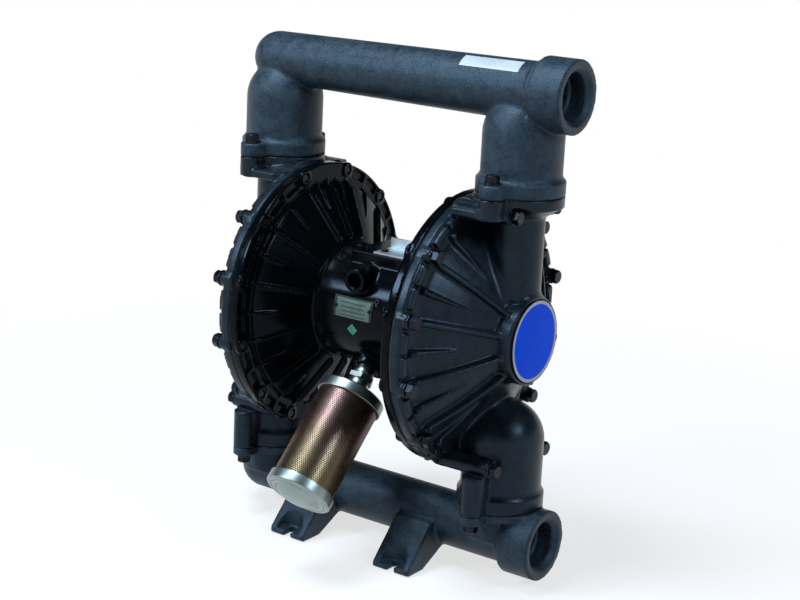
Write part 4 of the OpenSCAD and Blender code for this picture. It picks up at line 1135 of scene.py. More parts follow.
@dataclass
class OutletManifold(Casting):
    """Upper manifold: slightly flared tube over two round-topped legs."""

    low: Point = (-243.4, -81.0, 504.0)
    high: Point = (258.5, 81.0, 674.7)
    step: float = 2.6
    leg_r: float = 51.0
    dome_z: float = 577.0
    flange_t: float = 18.0

    def distance(self, p: Array) -> Array:
        """Signed distance of points to the manifold's surface.

        Args:
            p: points, one a row.

        Returns:
            Signed distances.
        """
        body = port_tube(p, PUMP.outlet_tube_z, 34.2, 37.5)
        inner = port_passage(p, PUMP.outlet_tube_z)
        joint, wide = PUMP.outlet_joint_z, PUMP.flange_r
        over = joint + self.flange_t
        legs = (-PUMP.leg_x, PUMP.leg_x)
        for x0 in legs:
            leg = rod(p, (x0, 0, joint + 1), (x0, 0, self.dome_z), self.leg_r, 0.5)
            body = smooth_min(body, np.minimum(leg, ball(p, (x0, 0, self.dome_z), self.leg_r)), 3.5)
            holes = [((x0, 0, 490), (x0, 0, self.dome_z), PUMP.ball_bore_r)]
            for y in (-PUMP.lug_y, PUMP.lug_y):
                holes.append(((x0, y, 490), (x0, y, 540), PUMP.bolt_hole_r))
                holes.append(((x0, y, over), (x0, y, over + 20), PUMP.washer_r + 1))
            inner = np.minimum(inner, np.minimum(bars(p, *holes), ball(p, (x0, 0, self.dome_z), PUMP.ball_bore_r)))
        for x0 in legs:
            part = rod(p, (x0, 0, joint), (x0, 0, over), wide, CAST_EDGE)
            part = np.minimum(part, taper(p, (x0, 0, over - 1), (x0, 0, over + 6), wide, self.leg_r - 1, 0.5))
            body = smooth_min(body, lugged(p, part, x0, joint, over), 2.5)
        return smooth_max(body, -inner, 1.0)


@dataclass
class InletManifold(Casting):
    """Lower manifold: tube with two short risers, flanges and four slotted feet."""

    low: Point = (-243.4, -94.0, 0.0)
    high: Point = (258.5, 94.0, 101.7)
    step: float = 2.5
    tube_r: float = 36.0
    riser_r: float = 41.0
    flange_t: float = 11.0
    foot_x: float = 86.0
    foot_w: float = 56.0
    toe_y: float = 94.0
    heel_y: float = 60.0
    slot_y: float = 79.0
    slot_r: float = 5.5
    foot_t: float = 8.0
    arch_r: float = 19.0
    arch_y: float = 90.0

    def distance(self, p: Array) -> Array:
        """Signed distance of points to the manifold's surface.

        Args:
            p: points, one a row.

        Returns:
            Signed distances.
        """
        body = port_tube(p, PUMP.inlet_tube_z, self.tube_r, self.tube_r)
        inner = port_passage(p, PUMP.inlet_tube_z)
        joint, tube_z = PUMP.inlet_joint_z, PUMP.inlet_tube_z
        for x0 in (-PUMP.leg_x, PUMP.leg_x):
            body = smooth_min(body, rod(p, (x0, 0, tube_z), (x0, 0, joint - 1), self.riser_r, 0.5), 6.0)
            part = rod(p, (x0, 0, joint - self.flange_t), (x0, 0, joint), PUMP.flange_r, CAST_EDGE)
            body = smooth_min(body, lugged(p, part, x0, joint - self.flange_t, joint), 3.0)
            holes = [((x0, y, 70), (x0, y, joint + 6), PUMP.bolt_hole_r) for y in (-PUMP.lug_y, PUMP.lug_y)]
            holes.append(((x0, 0, tube_z), (x0, 0, joint + 6), PASSAGE_R))
            holes.append(((x0, 0, joint), (x0, 0, joint + 12), PUMP.flange_r + 0.6))
            inner = np.minimum(inner, bars(p, *holes))
        body = np.maximum(smooth_min(body, self.feet(p), 4.0), self.foot_cut(p))
        return smooth_max(body, -inner, 1.0)

    def feet(self, p: Array) -> Array:
        """The four sloped feet without their arches and slots.

        Args:
            p: points, one a row.

        Returns:
            Signed distances.
        """
        x, y, z = np.abs(p[:, 0]), np.abs(p[:, 1]), p[:, 2]
        side = outline(y, z, [(self.toe_y, 0), (self.toe_y, self.foot_t), (46, 60), (16, 64), (-30, 64), (-30, 23),
                              (12, 22), (58, 0)])
        return rounded(np.abs(x - self.foot_x) - self.foot_w / 2, side, 1.6)

    def foot_cut(self, p: Array) -> Array:
        """Arches and slots of the feet, as a lower bound for the body's distances.

        Args:
            p: points, one a row.

        Returns:
            Distances that are positive inside an arch or a slot.
        """
        x, y, z = np.abs(p[:, 0]) - self.foot_x, np.abs(p[:, 1]), p[:, 2]
        arch, slot = (
            np.where(y < middle, np.hypot(x, y - middle), np.abs(x)) for middle in (self.arch_y, self.slot_y)
        )
        cut = np.maximum(-np.maximum(arch - self.arch_r, self.foot_t - z), self.slot_r - slot)
        return np.where(y > self.heel_y, cut, -20.0)


@dataclass
class AirCover(Casting):
    """Gloss painted cone between the centre housing and the rim, on the right side."""

    low: Point = (63.5, -177.0, 143.0)
    high: Point = (126.0, 177.0, 497.0)
    step: float = 2.1
    hub_r: float = 80.0
    hub_hole_r: float = 42.0
    cone_r: float = 160.0
    rib_h: float = 7.0
    pocket_d: float = 4.0
    slope_share: float = 0.87

    def cone_x(self, radius: Array | float) -> Array:
        """Distance of the outer cone from the pump's middle at a radius."""
        rim_x = PUMP.joint_x - PUMP.air_rim_t
        start = PUMP.housing_x + 4
        return start + (np.asarray(radius, np.float32) - self.hub_r) * (rim_x - start) / (self.cone_r - self.hub_r)

    def distance(self, p: Array) -> Array:
        """Signed distance of points to the cover's surface.

        Args:
            p: points, one a row.

        Returns:
            Signed distances.
        """
        x = p[:, 0]
        radius = np.hypot(p[:, 1], p[:, 2] - PUMP.pump_z)
        edge = PUMP.dome_root_r - PUMP.cover_wall
        rim_x = PUMP.joint_x - PUMP.air_rim_t
        groove = PUMP.joint_x - 4.7
        back = PUMP.joint_x - 0.02
        body = outline(radius, x, [
            (self.hub_hole_r, 63.5), (self.hub_r - 1, 63.5), (self.hub_r, 64.5),
            (self.hub_r, float(self.cone_x(self.hub_r))), (PUMP.dome_root_r, float(self.cone_x(PUMP.dome_root_r))),
            (PUMP.dome_root_r, rim_x), (PUMP.rim_r - 1, rim_x), (PUMP.rim_r, rim_x + 1), (PUMP.rim_r, back),
            (163.3, back), (163.3, groove), (edge, groove), (edge, float(self.cone_x(edge)) + 7),
            (self.hub_r - 8, 70), (self.hub_hole_r, 70)])
        row = [0.0, *PUMP.half_angles, 180.0]
        for sign in BOTH:
            for angle in PUMP.half_angles:
                body = smooth_min(body, self.rib(p, sign * angle, 84.0, self.rib_h, 1.9), 2.4)
                a, b = (on_circle(sign * angle, PUMP.bolt_circle_r, far) for far in (PUMP.air_boss_x, rim_x + 3))
                body = smooth_min(body, rod(p, a, b, PUMP.bolt_boss_r, 0.9), 2.0)
            for a, b in zip(row, row[1:]):
                body = smooth_min(body, self.rib(p, sign * (a + b) / 2, 118.0, self.rib_h - 2, 1.4), 2.0)
        for angle in (row[0], row[-1]):
            body = smooth_min(body, self.rib(p, angle, 84.0, self.rib_h, 1.9), 2.4)
        pocket = rounded(rim_arcs(p, 2.4, 11.5, 167.3), x - rim_x - self.pocket_d, 1.0)
        drill = [(sign * a, PUMP.bolt_circle_r, 100, 130, PUMP.bolt_hole_r) for sign in BOTH for a in PUMP.half_angles]
        drill += [(turn, HUB_SCREW_R, 60, 80, 3.7) for turn in HUB_SCREW_TURNS]
        holes = bars(p, *((on_circle(a, r, low), on_circle(a, r, high), size) for a, r, low, high, size in drill))
        return smooth_max(body, -np.minimum(np.where(x > rim_x - 5, pocket, FAR), holes), 0.6)

    def rib(self, p: Array, angle: float, low: float, tall: float, half: float) -> Array:
        """Thin rib that grows along the cone's outer face and ends in a slope to the rim.

        Args:
            p: points, one a row.
            angle: its angle from the vertical, in degrees.
            low: radius at which it starts.
            tall: its full height over the cone.
            half: half its thickness.

        Returns:
            Signed distances.
        """
        out, across = polar(p, angle)
        grow = np.clip((out - low + 4) / 10, 0, 1) if low < 100 else np.clip((out - low) / 28, 0, 1) * 0.8 + 0.2
        rise = tall * grow * np.clip((154 - out) / 7, -0.3, 1)
        top = (self.cone_x(out) - rise - p[:, 0]) * self.slope_share
        fin = smooth_max(np.abs(across) - half, top, 1.6)
        return np.maximum(np.maximum(fin, np.maximum(low - out, out - 155)), p[:, 0] - self.cone_x(out) - 3)


@dataclass
class CentreHousing(Casting):
    """Gloss painted housing with its top block, rear valve face, air inlet and exhaust boss."""

    low: Point = (-63.0, -90.0, 240.0)
    high: Point = (63.0, 72.0, 401.0)
    step: float = 2.1
    inlet_y: float = -82.0
    inlet_dz: float = 51.0
    inlet_r: float = 9.4

    def distance(self, p: Array) -> Array:
        """Signed distance of points to the housing's surface.

        Args:
            p: points, one a row.

        Returns:
            Signed distances.
        """
        cz, half = PUMP.pump_z, PUMP.housing_x
        body = rod(p, (-half, 0, cz), (half, 0, cz), PUMP.housing_r, 0.8)
        body = smooth_max(body, p[:, 1] - 72.0, 1.5)
        body = smooth_min(body, block(p, (-34, -44, cz + 10), (58, 40, cz + 81), 2.0), 3.0)
        body = smooth_min(body, block(p, (-54, 10, cz - 50), (54, 72, cz + 50), 1.5), 3.0)
        inlet_z = cz + self.inlet_dz
        body = smooth_min(body, rod(p, (0, self.inlet_y, inlet_z), (0, -20, inlet_z), 16, 1.2), 4.0)
        start, axis = MUFFLER.point(0), MUFFLER.point(90)
        body = smooth_min(body, rod(p, start, axis, 23, 1.5), 4.0)
        return smooth_max(body, -self.hollow(p), 0.8)

    def hollow(self, p: Array) -> Array:
        """Shaft bore, threaded holes and screw holes.

        Args:
            p: points, one a row.

        Returns:
            Signed distances of what is cut out.
        """
        cz, far, mouth_y = PUMP.pump_z, PUMP.housing_x + 5, self.inlet_y
        inlet_z = cz + self.inlet_dz
        holes = [
            ((-far, 0, cz), (far, 0, cz), 15.55), ((-17, 0, cz), (17, 0, cz), 40),
            ((-far, 0, cz - 30), (far, 0, cz - 30), 6.1), ((0, -70, inlet_z), (0, 40, inlet_z), 7.2),
            (MUFFLER.point(70), MUFFLER.point(96), 13.35),
        ]
        holes += [((sign * 57, 0, cz), (sign * 70, 0, cz), 17.5) for sign in BOTH]
        holes += [(TRIM.on_front(x, turn, -8), TRIM.on_front(x, turn, 5), 3.25) for x, turn in TRIM.plug_places]
        holes += [((x, -30, cz + 69), (x, -30, cz + 90), r) for x, r in ((9, 2.6), (45, 2.6), (-18, 2.1))]
        holes += [
            (on_circle(turn, HUB_SCREW_R, sign * 48), on_circle(turn, HUB_SCREW_R, sign * 70), 3.1)
            for turn in HUB_SCREW_TURNS for sign in BOTH
        ]
        holes += [((x, 56, cz + dz), (x, 80, cz + dz), 3.1) for x in (-46, 0, 46) for dz in (-42.5, 42.5)]
        y, across = p[:, 1], np.hypot(p[:, 0], p[:, 2] - inlet_z)
        thread = threaded(y, across, self.inlet_r, 1.8, 0.4)
        thread = np.maximum(thread, np.maximum(y + 64, mouth_y - 5 - y))
        mouth = np.maximum((across - self.inlet_r + (y - mouth_y - 1.4)) * SLANT, y - mouth_y - 3)
        return np.minimum(bars(p, *holes), np.minimum(thread, mouth))


# -------- small meshes


def ring_faces(rings: Sequence[Sequence[int]]) -> list[tuple[int, ...]]:
    """Faces between each ring of point numbers and the next, and back to the first.

    Args:
        rings: point numbers round the axis, the same number of them in each ring.

    Returns:
        Faces with their repeated corners left out.
    """
    faces = []
    for low, high in zip(rings, [*rings[1:], rings[0]]):
        for i in range(len(low)):
            j = (i + 1) % len(low)
            corner = tuple(dict.fromkeys((low[i], low[j], high[j], high[i])))
            if len(corner) > 2:
                faces.append(corner)
    return faces


def lathe(profile: Corners, turns: int = 96) -> Solid:
    """Turns a closed profile about the Z axis.

    Args:
        profile: radius and height of each corner, in order, outside on the right.
        turns: number of steps round the axis.

    Returns:
        Points and faces, with faces outwards.
    """
    points: list[Point] = []
    rings: list[list[int]] = []
    for radius, height in profile:
        pole = radius < 1e-6
        rings.append([len(points) + (0 if pole else i) for i in range(turns)])
        for i in range(1 if pole else turns):
            a = 2 * math.pi * i / turns
            points.append((radius * math.cos(a), radius * math.sin(a), height))
    return np.array(points), ring_faces(rings)


def thin_patch(
    rows: int, columns: int, lifts: tuple[float, float], spot: Callable[[float, float, float], Point]
) -> Solid:
    """Closed thin sheet that lies on a surface.

    Args:
        rows: steps along its first edge.
        columns: steps along its second edge.
        lifts: heights of its underside and its top over the surface.
        spot: point for the share of each edge and a height.

    Returns:
        Points and faces.
    """
    grid = [(i, j) for i in range(rows + 1) for j in range(columns + 1)]
    number = {place: k for k, place in enumerate(grid)}
    top, faces = len(grid), []
    for i, j in itertools.product(range(rows), range(columns)):
        quad = [number[place] for place in ((i, j), (i, j + 1), (i + 1, j + 1), (i + 1, j))]
        faces += [tuple(quad), tuple(top + k for k in quad)]
    border = [(0, j) for j in range(columns)] + [(i, columns) for i in range(rows)]
    border += [(rows, j) for j in range(columns, 0, -1)] + [(i, 0) for i in range(rows, 0, -1)]
    for a, b in zip(border, border[1:] + border[:1]):
        faces.append((number[a], top + number[a], top + number[b], number[b]))
    return np.array([spot(i / rows, j / columns, lift) for lift in lifts for i, j in grid]), faces


def rounded_profile(corners: Sequence[tuple[float, float, float]], parts: int = 4) -> list[tuple[float, float]]:
    """Rounds the corners of a closed profile.

    Args:
        corners: radius, height and rounding of each corner.
        parts: segments in each rounded corner.

    Returns:
        The finer profile.
    """
    out: list[tuple[float, float]] = []
    count = len(corners)
    for i, (r, z, size) in enumerate(corners):
        here = np.array([r, z])
        if size <= 0:
            out.append((r, z))
            continue
        before = np.array(corners[i - 1][:2]) - here
        after = np.array(corners[(i + 1) % count][:2]) - here
        reach = min(size, 0.45 * np.linalg.norm(before), 0.45 * np.linalg.norm(after))
        a = here + before / np.linalg.norm(before) * reach
        b = here + after / np.linalg.norm(after) * reach
        for k in range(parts + 1):
            t = k / parts
            spot = (1 - t) ** 2 * a + 2 * t * (1 - t) * here + t * t * b
            out.append((float(spot[0]), float(spot[1])))
    return out


def face_mesh(name: str, points: Array, faces: Iterable[Sequence[int]], matrix: Matrix | None = None) -> Mesh:
    """Makes a mesh from millimetre points, placed by a matrix in millimetres, with outward faces.

    Args:
        name: name of the mesh.
        points: corner points.
        faces: corners of each face.
        matrix: place of the mesh in the row frame.

    Returns:
        Mesh in metres.
    """
    mesh = bpy.data.meshes.new(name)
    mesh.from_pydata([tuple(v) for v in points], [], [tuple(f) for f in faces])
    if matrix is not None:
        mesh.transform(matrix)
    mesh.transform(Matrix.Scale(MM, 4))
    work = bmesh.new()
    work.from_mesh(mesh)
    bmesh.ops.remove_doubles(work, verts=work.verts, dist=1e-7)
    bmesh.ops.recalc_face_normals(work, faces=work.faces)
    work.to_mesh(mesh)
    work.free()
    return mesh


def along(start: Point, direction: Point, turn: float = 0.0) -> Matrix:
    """Matrix that puts local Z along a direction from a point, turned about it in degrees."""
    quat = Vector(direction).to_track_quat("Z", "Y")
    return Matrix.Translation(Vector(start)) @ quat.to_matrix().to_4x4() @ Matrix.Rotation(math.radians(turn), 4, "Z")


def soften(mesh: Mesh, angle: float = 32.0) -> Mesh:
    """Shades a mesh smooth except over edges sharper than the angle."""
    mesh.shade_smooth()
    mesh.set_sharp_from_angle(angle=math.radians(angle))
    return mesh


def piece(
    name: str,
    mesh: Mesh,
    material: Material | None,
    nodes: Sequence[str] = (),
    body: str = ROOT_BODY,
) -> bpy.types.Object:
    """Adds a finished piece to the scene, puts it on its body and hides the CAD nodes that it stands for.

    Args:
        name: name of the piece.
        mesh: its mesh in metres, in the row frame.
        material: its finish, or None to keep the mesh's own.
        nodes: CAD nodes that it stands for.
        body: body that it rides on.

    Returns:
        The new object.
    """
    obj = put(name, mesh)
    if material is not None:
        mesh.materials.clear()
        mesh.materials.append(material)
    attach(obj, body)
    if nodes:
        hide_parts(*nodes)
    LOG.info("%s: %d faces", name, len(mesh.polygons))
    return obj


# -------- repeats by geometry nodes

# Distance in metres within which neighbouring cells' points are one
WELD = 2e-5


def repeat_tree(name: str, wrap: bool) -> Tree:
    """Builds a tree that puts a part on every point and makes the result real.

    Args:
        name: name of the tree.
        wrap: True to bend the flat result round a cylinder whose radius is an input.

    Returns:
        Geometry node tree with inputs Geometry, Part, Finish, Size and Wrap Radius.
    """
    tree = bpy.data.node_groups.new(name, "GeometryNodeTree")
    sockets = {"Geometry": "Geometry", "Part": "Object", "Finish": "Material", "Size": "Float", "Wrap Radius": "Float"}
    for label, kind in sockets.items():
        tree.interface.new_socket(label, in_out="INPUT", socket_type=f"NodeSocket{kind}")
    tree.interface.new_socket("Geometry", in_out="OUTPUT", socket_type="NodeSocketGeometry")
    given = add_node(tree, "NodeGroupInput").outputs
    part = add_node(tree, "GeometryNodeObjectInfo", Object=given["Part"])
    turn = add_node(tree, "GeometryNodeInputNamedAttribute", {"data_type": "FLOAT_VECTOR"}, Name="turn")
    made = add_node(
        tree, "GeometryNodeInstanceOnPoints", Points=given["Geometry"], Instance=part.outputs["Geometry"],
        Rotation=turn.outputs[0], Scale=given["Size"],
    )
    real = add_node(tree, "GeometryNodeRealizeInstances", Geometry=made.outputs[0]).outputs[0]
    if wrap:
        real = add_node(tree, "GeometryNodeMergeByDistance", Geometry=real, Distance=WELD).outputs[0]
        where = add_node(tree, "GeometryNodeInputPosition")
        split = add_node(tree, "ShaderNodeSeparateXYZ", Vector=where.outputs[0])
        angle = add_node(tree, "ShaderNodeMath", {"operation": "DIVIDE"}, i0=split.outputs[0], i1=given["Wrap Radius"])
        reach = add_node(tree, "ShaderNodeMath", {"operation": "ADD"}, i0=split.outputs[2], i1=given["Wrap Radius"])
        bent = []
        for wave in ("COSINE", "SINE"):
            share = add_node(tree, "ShaderNodeMath", {"operation": wave}, i0=angle.outputs[0]).outputs[0]
            bent.append(add_node(tree, "ShaderNodeMath", {"operation": "MULTIPLY"}, i0=reach.outputs[0], i1=share))
        spot = add_node(
            tree, "ShaderNodeCombineXYZ", X=bent[0].outputs[0], Y=bent[1].outputs[0], Z=split.outputs[1]
        )
        real = add_node(tree, "GeometryNodeSetPosition", Geometry=real, Position=spot.outputs[0]).outputs[0]
        real = add_node(tree, "GeometryNodeMergeByDistance", Geometry=real, Distance=WELD).outputs[0]
    done = add_node(tree, "GeometryNodeSetMaterial", Geometry=real, Material=given["Finish"])
    add_node(tree, "NodeGroupOutput", i0=done.outputs[0])
    return tree


def repeat(
    tree: Tree,
    part: Mesh,
    places: Sequence[tuple[Point, Point]],
    finish: Material,
    wrap_radius: float = 1.0,
) -> Mesh:
    """Runs a repeat tree and returns the plain mesh.

    Args:
        tree: tree from repeat_tree.
        part: mesh that is repeated, in metres.
        places: position in metres and Euler turn of each copy.
        finish: material of the copies.
        wrap_radius: radius in metres round which a flat pattern is bent.

    Returns:
        The realised mesh.
    """
    seed = put("repeat_part", part)
    cloud = bpy.data.meshes.new("repeat_points")
    cloud.from_pydata([spot for spot, _ in places], [], [])
    turn = cloud.attributes.new("turn", "FLOAT_VECTOR", "POINT")
    turn.data.foreach_set("vector", np.array([t for _, t in places], np.float32).ravel())
    holder = put("repeat_holder", cloud)
    modifier = holder.modifiers.new("repeat", "NODES")
    modifier.node_group = tree
    values = {"Part": seed, "Finish": finish, "Size": 1.0, "Wrap Radius": wrap_radius}
    for item in tree.interface.items_tree:
        if item.in_out == "INPUT" and item.name in values:
            modifier[item.identifier] = values[item.name]
    depsgraph = bpy.context.evaluated_depsgraph_get()
    mesh = bpy.data.meshes.new_from_object(holder.evaluated_get(depsgraph))
    holder.modifiers.remove(modifier)
    for obj in (seed, holder):
        bpy.data.objects.remove(obj)
    return mesh


def placed(matrix: Matrix) -> tuple[Point, Point]:
    """Position in metres and Euler turn of a matrix in millimetres."""
    spot = matrix.to_translation() * MM
    return tuple(spot), tuple(matrix.to_euler("XYZ"))


# Points round a hexagon, a multiple of its six sides
HEX_STEPS = 36


def hex_solid(corner_r: float, low: float, high: float, chamfer: float, hole: float = 0.01) -> Solid:
    """Hexagon with turned chamfers, as points and faces.

    Args:
        corner_r: radius to the hexagon's corners.
        low: lower face.
        high: upper face.
        chamfer: height of the turned chamfer at the top.
        hole: radius of a through hole; the default leaves the centre all but closed.

    Returns:
        Points and faces.
    """
    turns = [2 * math.pi * i / HEX_STEPS for i in range(HEX_STEPS)]
    flat_r = corner_r * math.cos(math.pi / 6)
    top_r = flat_r * 0.97
    side = [flat_r / math.cos((a % (math.pi / 3)) - math.pi / 6) for a in turns]
    slope = [high - chamfer * (r - top_r) / (corner_r - top_r) for r in side]
    hole_r, chamfer_r, under, over = ([value] * HEX_STEPS for value in (hole, top_r, low, high))
    points: list[Point] = []
    for radii, heights in ((hole_r, under), (side, under), (side, slope), (chamfer_r, over), (hole_r, over)):
        points += [(r * math.cos(a), r * math.sin(a), z) for r, a, z in zip(radii, turns, heights)]
    faces = ring_faces([range(first, first + HEX_STEPS) for first in range(0, len(points), HEX_STEPS)])
    return np.array(points), faces if hole > 1 else faces[:-HEX_STEPS]


def join_parts(parts: Sequence[Solid]) -> Solid:
    """Puts several point and face lists together.

    Args:
        parts: points and faces of each part.

    Returns:
        Points and faces of the whole.
    """
    points, faces, base = [], [], 0
    for part_points, part_faces in parts:
        points.append(part_points)
        faces += [tuple(v + base for v in f) for f in part_faces]
        base += len(part_points)
    return np.concatenate(points), faces


@dataclass
class FlangeBolt:
    """Hexagon bolt with a pressed washer; its seat is at zero and its head towards +Z."""

    shank: float
    radius: float = 5.0

    def mesh(self) -> Mesh:
        """Makes the bolt's mesh.

        Returns:
            Mesh in metres.
        """
        r, t, end = PUMP.washer_r, PUMP.washer_t, -self.shank
        washer = lathe(rounded_profile([(0, 0, 0), (r, 0, 0.3), (r, t, 0.7), (0, t, 0)]), 40)
        head = hex_solid(PUMP.hex_r, t - 0.1, t + PUMP.head_h, 1.2)
        tip = self.radius - 0.8
        shank = lathe([(0, end), (tip, end), (self.radius, end + 0.8), (self.radius, 0.1), (0, 0.1)], 24)
        return soften(face_mesh("flange_bolt", *join_parts([washer, head, shank])))


# -------- muffler and trim


@dataclass(frozen=True)
class MufflerSizes:
    """Place and sizes of the muffler, in millimetres."""

    x: float = 5.0
    offset: float = 13.3
    angle: float = 45.0
    start: float = 125.0
    length: float = 156.0
    radius: float = 41.5
    sheet: float = 1.2
    cap_h: float = 15.0
    cap_t: float = 2.0

    @property
    def cap_r(self) -> float:
        """Outer radius of the caps."""
        return self.radius + self.cap_t + 1

    @property
    def end(self) -> float:
        """Distance of the bottom cap's face from the diaphragm axis."""
        return self.start + self.length

    def matrix(self, distance: float = 0.0) -> Matrix:
        """Matrix that puts local Z along the muffler, away from the housing."""
        base = Matrix.Translation((self.x, 0, PUMP.pump_z)) @ Matrix.Rotation(math.radians(90 + self.angle), 4, "X")
        return base @ Matrix.Translation((0, -self.offset, distance))

    def point(self, distance: float) -> Point:
        """Point on the muffler's axis at a distance from the diaphragm axis."""
        return tuple(self.matrix(distance).to_translation())


MUFFLER = MufflerSizes()


@dataclass
class Muffler:
    """Canister muffler: nipple, two pressed caps, a perforated sleeve and its felt."""

    pitch: float = 2.85
    hole_share: float = 0.75
    boss_bore_r: float = 13.35

    def build(self, zinc: Material, film: Material, felt: Material) -> None:
        """Makes and places all pieces of the muffler.

        Args:
            zinc: finish of the nipple and the caps.
            film: finish of the sleeve.
            felt: finish of the core, with painted shade in its dark colour.
        """
        piece("exhaust_nipple_finished", self.nipple(), zinc, ["exhaust_nipple"])
        piece("muffler_top_cap_finished", self.cap(True), zinc, ["muffler_top_cap"])
        piece("muffler_bottom_cap_finished", self.cap(False), zinc, ["muffler_bottom_cap"])
        piece("muffler_sleeve", self.sleeve(film), None, ["muffler_mesh"])
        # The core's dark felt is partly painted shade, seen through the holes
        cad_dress("muffler_core", felt)

    def nipple(self) -> Mesh:
        """Pipe nipple with its hexagon and a rolled lower edge.

        Returns:
            Mesh in metres.
        """
        s = MUFFLER
        end = s.start + 12
        pipe = lathe(rounded_profile([(13.3, 71, 0.6), (13.3, end, 0.6), (10, end, 0.3), (10, 71, 0.3)]), 64)
        collar = lathe(rounded_profile([(13.2, 96, 0), (14.6, 96, 0.8), (14.6, 98.5, 0.8), (13.2, 98.5, 0)]), 64)
        nut = hex_solid(18, 101, 108, 1.0, 13.2)
        return soften(face_mesh("exhaust_nipple", *join_parts([pipe, collar, nut]), s.matrix()))

    def cap(self, top: bool) -> Mesh:
        """Pressed pan with a rolled rim; the bottom one is domed, the top one has its boss.

        Args:
            top: True for the cap with the pipe's boss.

        Returns:
            Mesh in metres.
        """
        s = MUFFLER
        r, wall_r, pan = s.cap_r, s.radius + 0.2, s.cap_t + 2
        hole = self.boss_bore_r if top else 0.0
        crown = [(0, -9, 0), (15, -8.2, 4), (25, -5, 4), (30, 1.6, 1), (32, 1.6, 0.6), (33, 0, 0.6)]
        if top:
            crown = [(hole, 0, 0)]
        groove = [(r - 8, 0, 0.5), (r - 7.4, 1.4, 0.5), (r - 5.6, 1.4, 0.5), (r - 5, 0, 0.5)]
        rim = [(r - 2.2, 0, 0.8), (r, 2.2, 0.8), (r, s.cap_h - 5, 0.6), (r, s.cap_h, 0.8), (wall_r, s.cap_h, 0.4)]
        parts = [lathe(rounded_profile([*crown, *groove, *rim, (wall_r, pan, 1.2), (hole, pan, 0)]), 128)]
        if top:
            parts.append(hex_solid(19, -9, 0.4, 1.0, hole))
        matrix = s.matrix(s.start) if top else s.matrix(s.end) @ Matrix.Scale(-1, 4, (0, 0, 1))
        return soften(face_mesh("muffler_cap", *join_parts(parts), matrix))

    def cell(self) -> Mesh:
        """Hexagonal cell of the sheet with a round-cornered hole, for one perforation.

        Returns:
            Mesh in metres, flat and centred.
        """
        outer, hole = self.pitch / math.sqrt(3), self.pitch / math.sqrt(3) * self.hole_share
        points, faces = [], []
        for z in (-MUFFLER.sheet, 0.0):
            for r in (outer, hole):
                for i in range(6):
                    a = math.radians(60 * i + 30)
                    points.append((r * math.cos(a), r * math.sin(a), z))
        for i in range(6):
            j = (i + 1) % 6
            faces.append((12 + i, 12 + j, 18 + j, 18 + i))
            faces.append((18 + i, 18 + j, 6 + j, 6 + i))
            faces.append((6 + i, 6 + j, j, i))
        mesh = bpy.data.meshes.new("perforation")
        mesh.from_pydata(points, [], faces)
        mesh.transform(Matrix.Scale(MM, 4))
        return mesh

    def sleeve(self, film: Material) -> Mesh:
        """Perforated sleeve: cells on a staggered grid, bent round the muffler's axis.

        Args:
            film: finish of the sheet.

        Returns:
            Mesh in metres, in its place.
        """
        s = MUFFLER
        columns = round(2 * math.pi * s.radius / self.pitch)
        pitch = 2 * math.pi * s.radius / columns
        row = pitch * math.sqrt(3) / 2
        rows = int((s.length - 2 * (s.cap_t + 4)) / row)
        still = (0.0, 0.0, 0.0)
        cells = itertools.product(range(rows), range(columns))
        places = [(((i + 0.5 * (j % 2)) * pitch * MM, j * row * MM, 0.0), still) for j, i in cells]
        self.pitch = pitch
        tree = repeat_tree("perforated_sheet", True)
        mesh = repeat(tree, self.cell(), places, film, s.radius * MM)
        mesh.transform(Matrix.Scale(MM, 4) @ s.matrix(s.start + s.cap_t + 4 + 1) @ Matrix.Scale(1 / MM, 4))
        return soften(mesh, 40)


@dataclass(frozen=True)
class TrimSizes:
    """Places of the small pieces on the housing, in millimetres."""

    plug_places: tuple[tuple[float, float], ...] = ((31.5, 20.5), (46.0, 16.0))

    def on_front(self, x: float, turn: float, height: float) -> Point:
        """Point over the housing's front at an angle above the horizontal."""
        a, r = math.radians(turn), PUMP.housing_r + height
        return x, -r * math.cos(a), PUMP.pump_z + r * math.sin(a)


TRIM = TrimSizes()


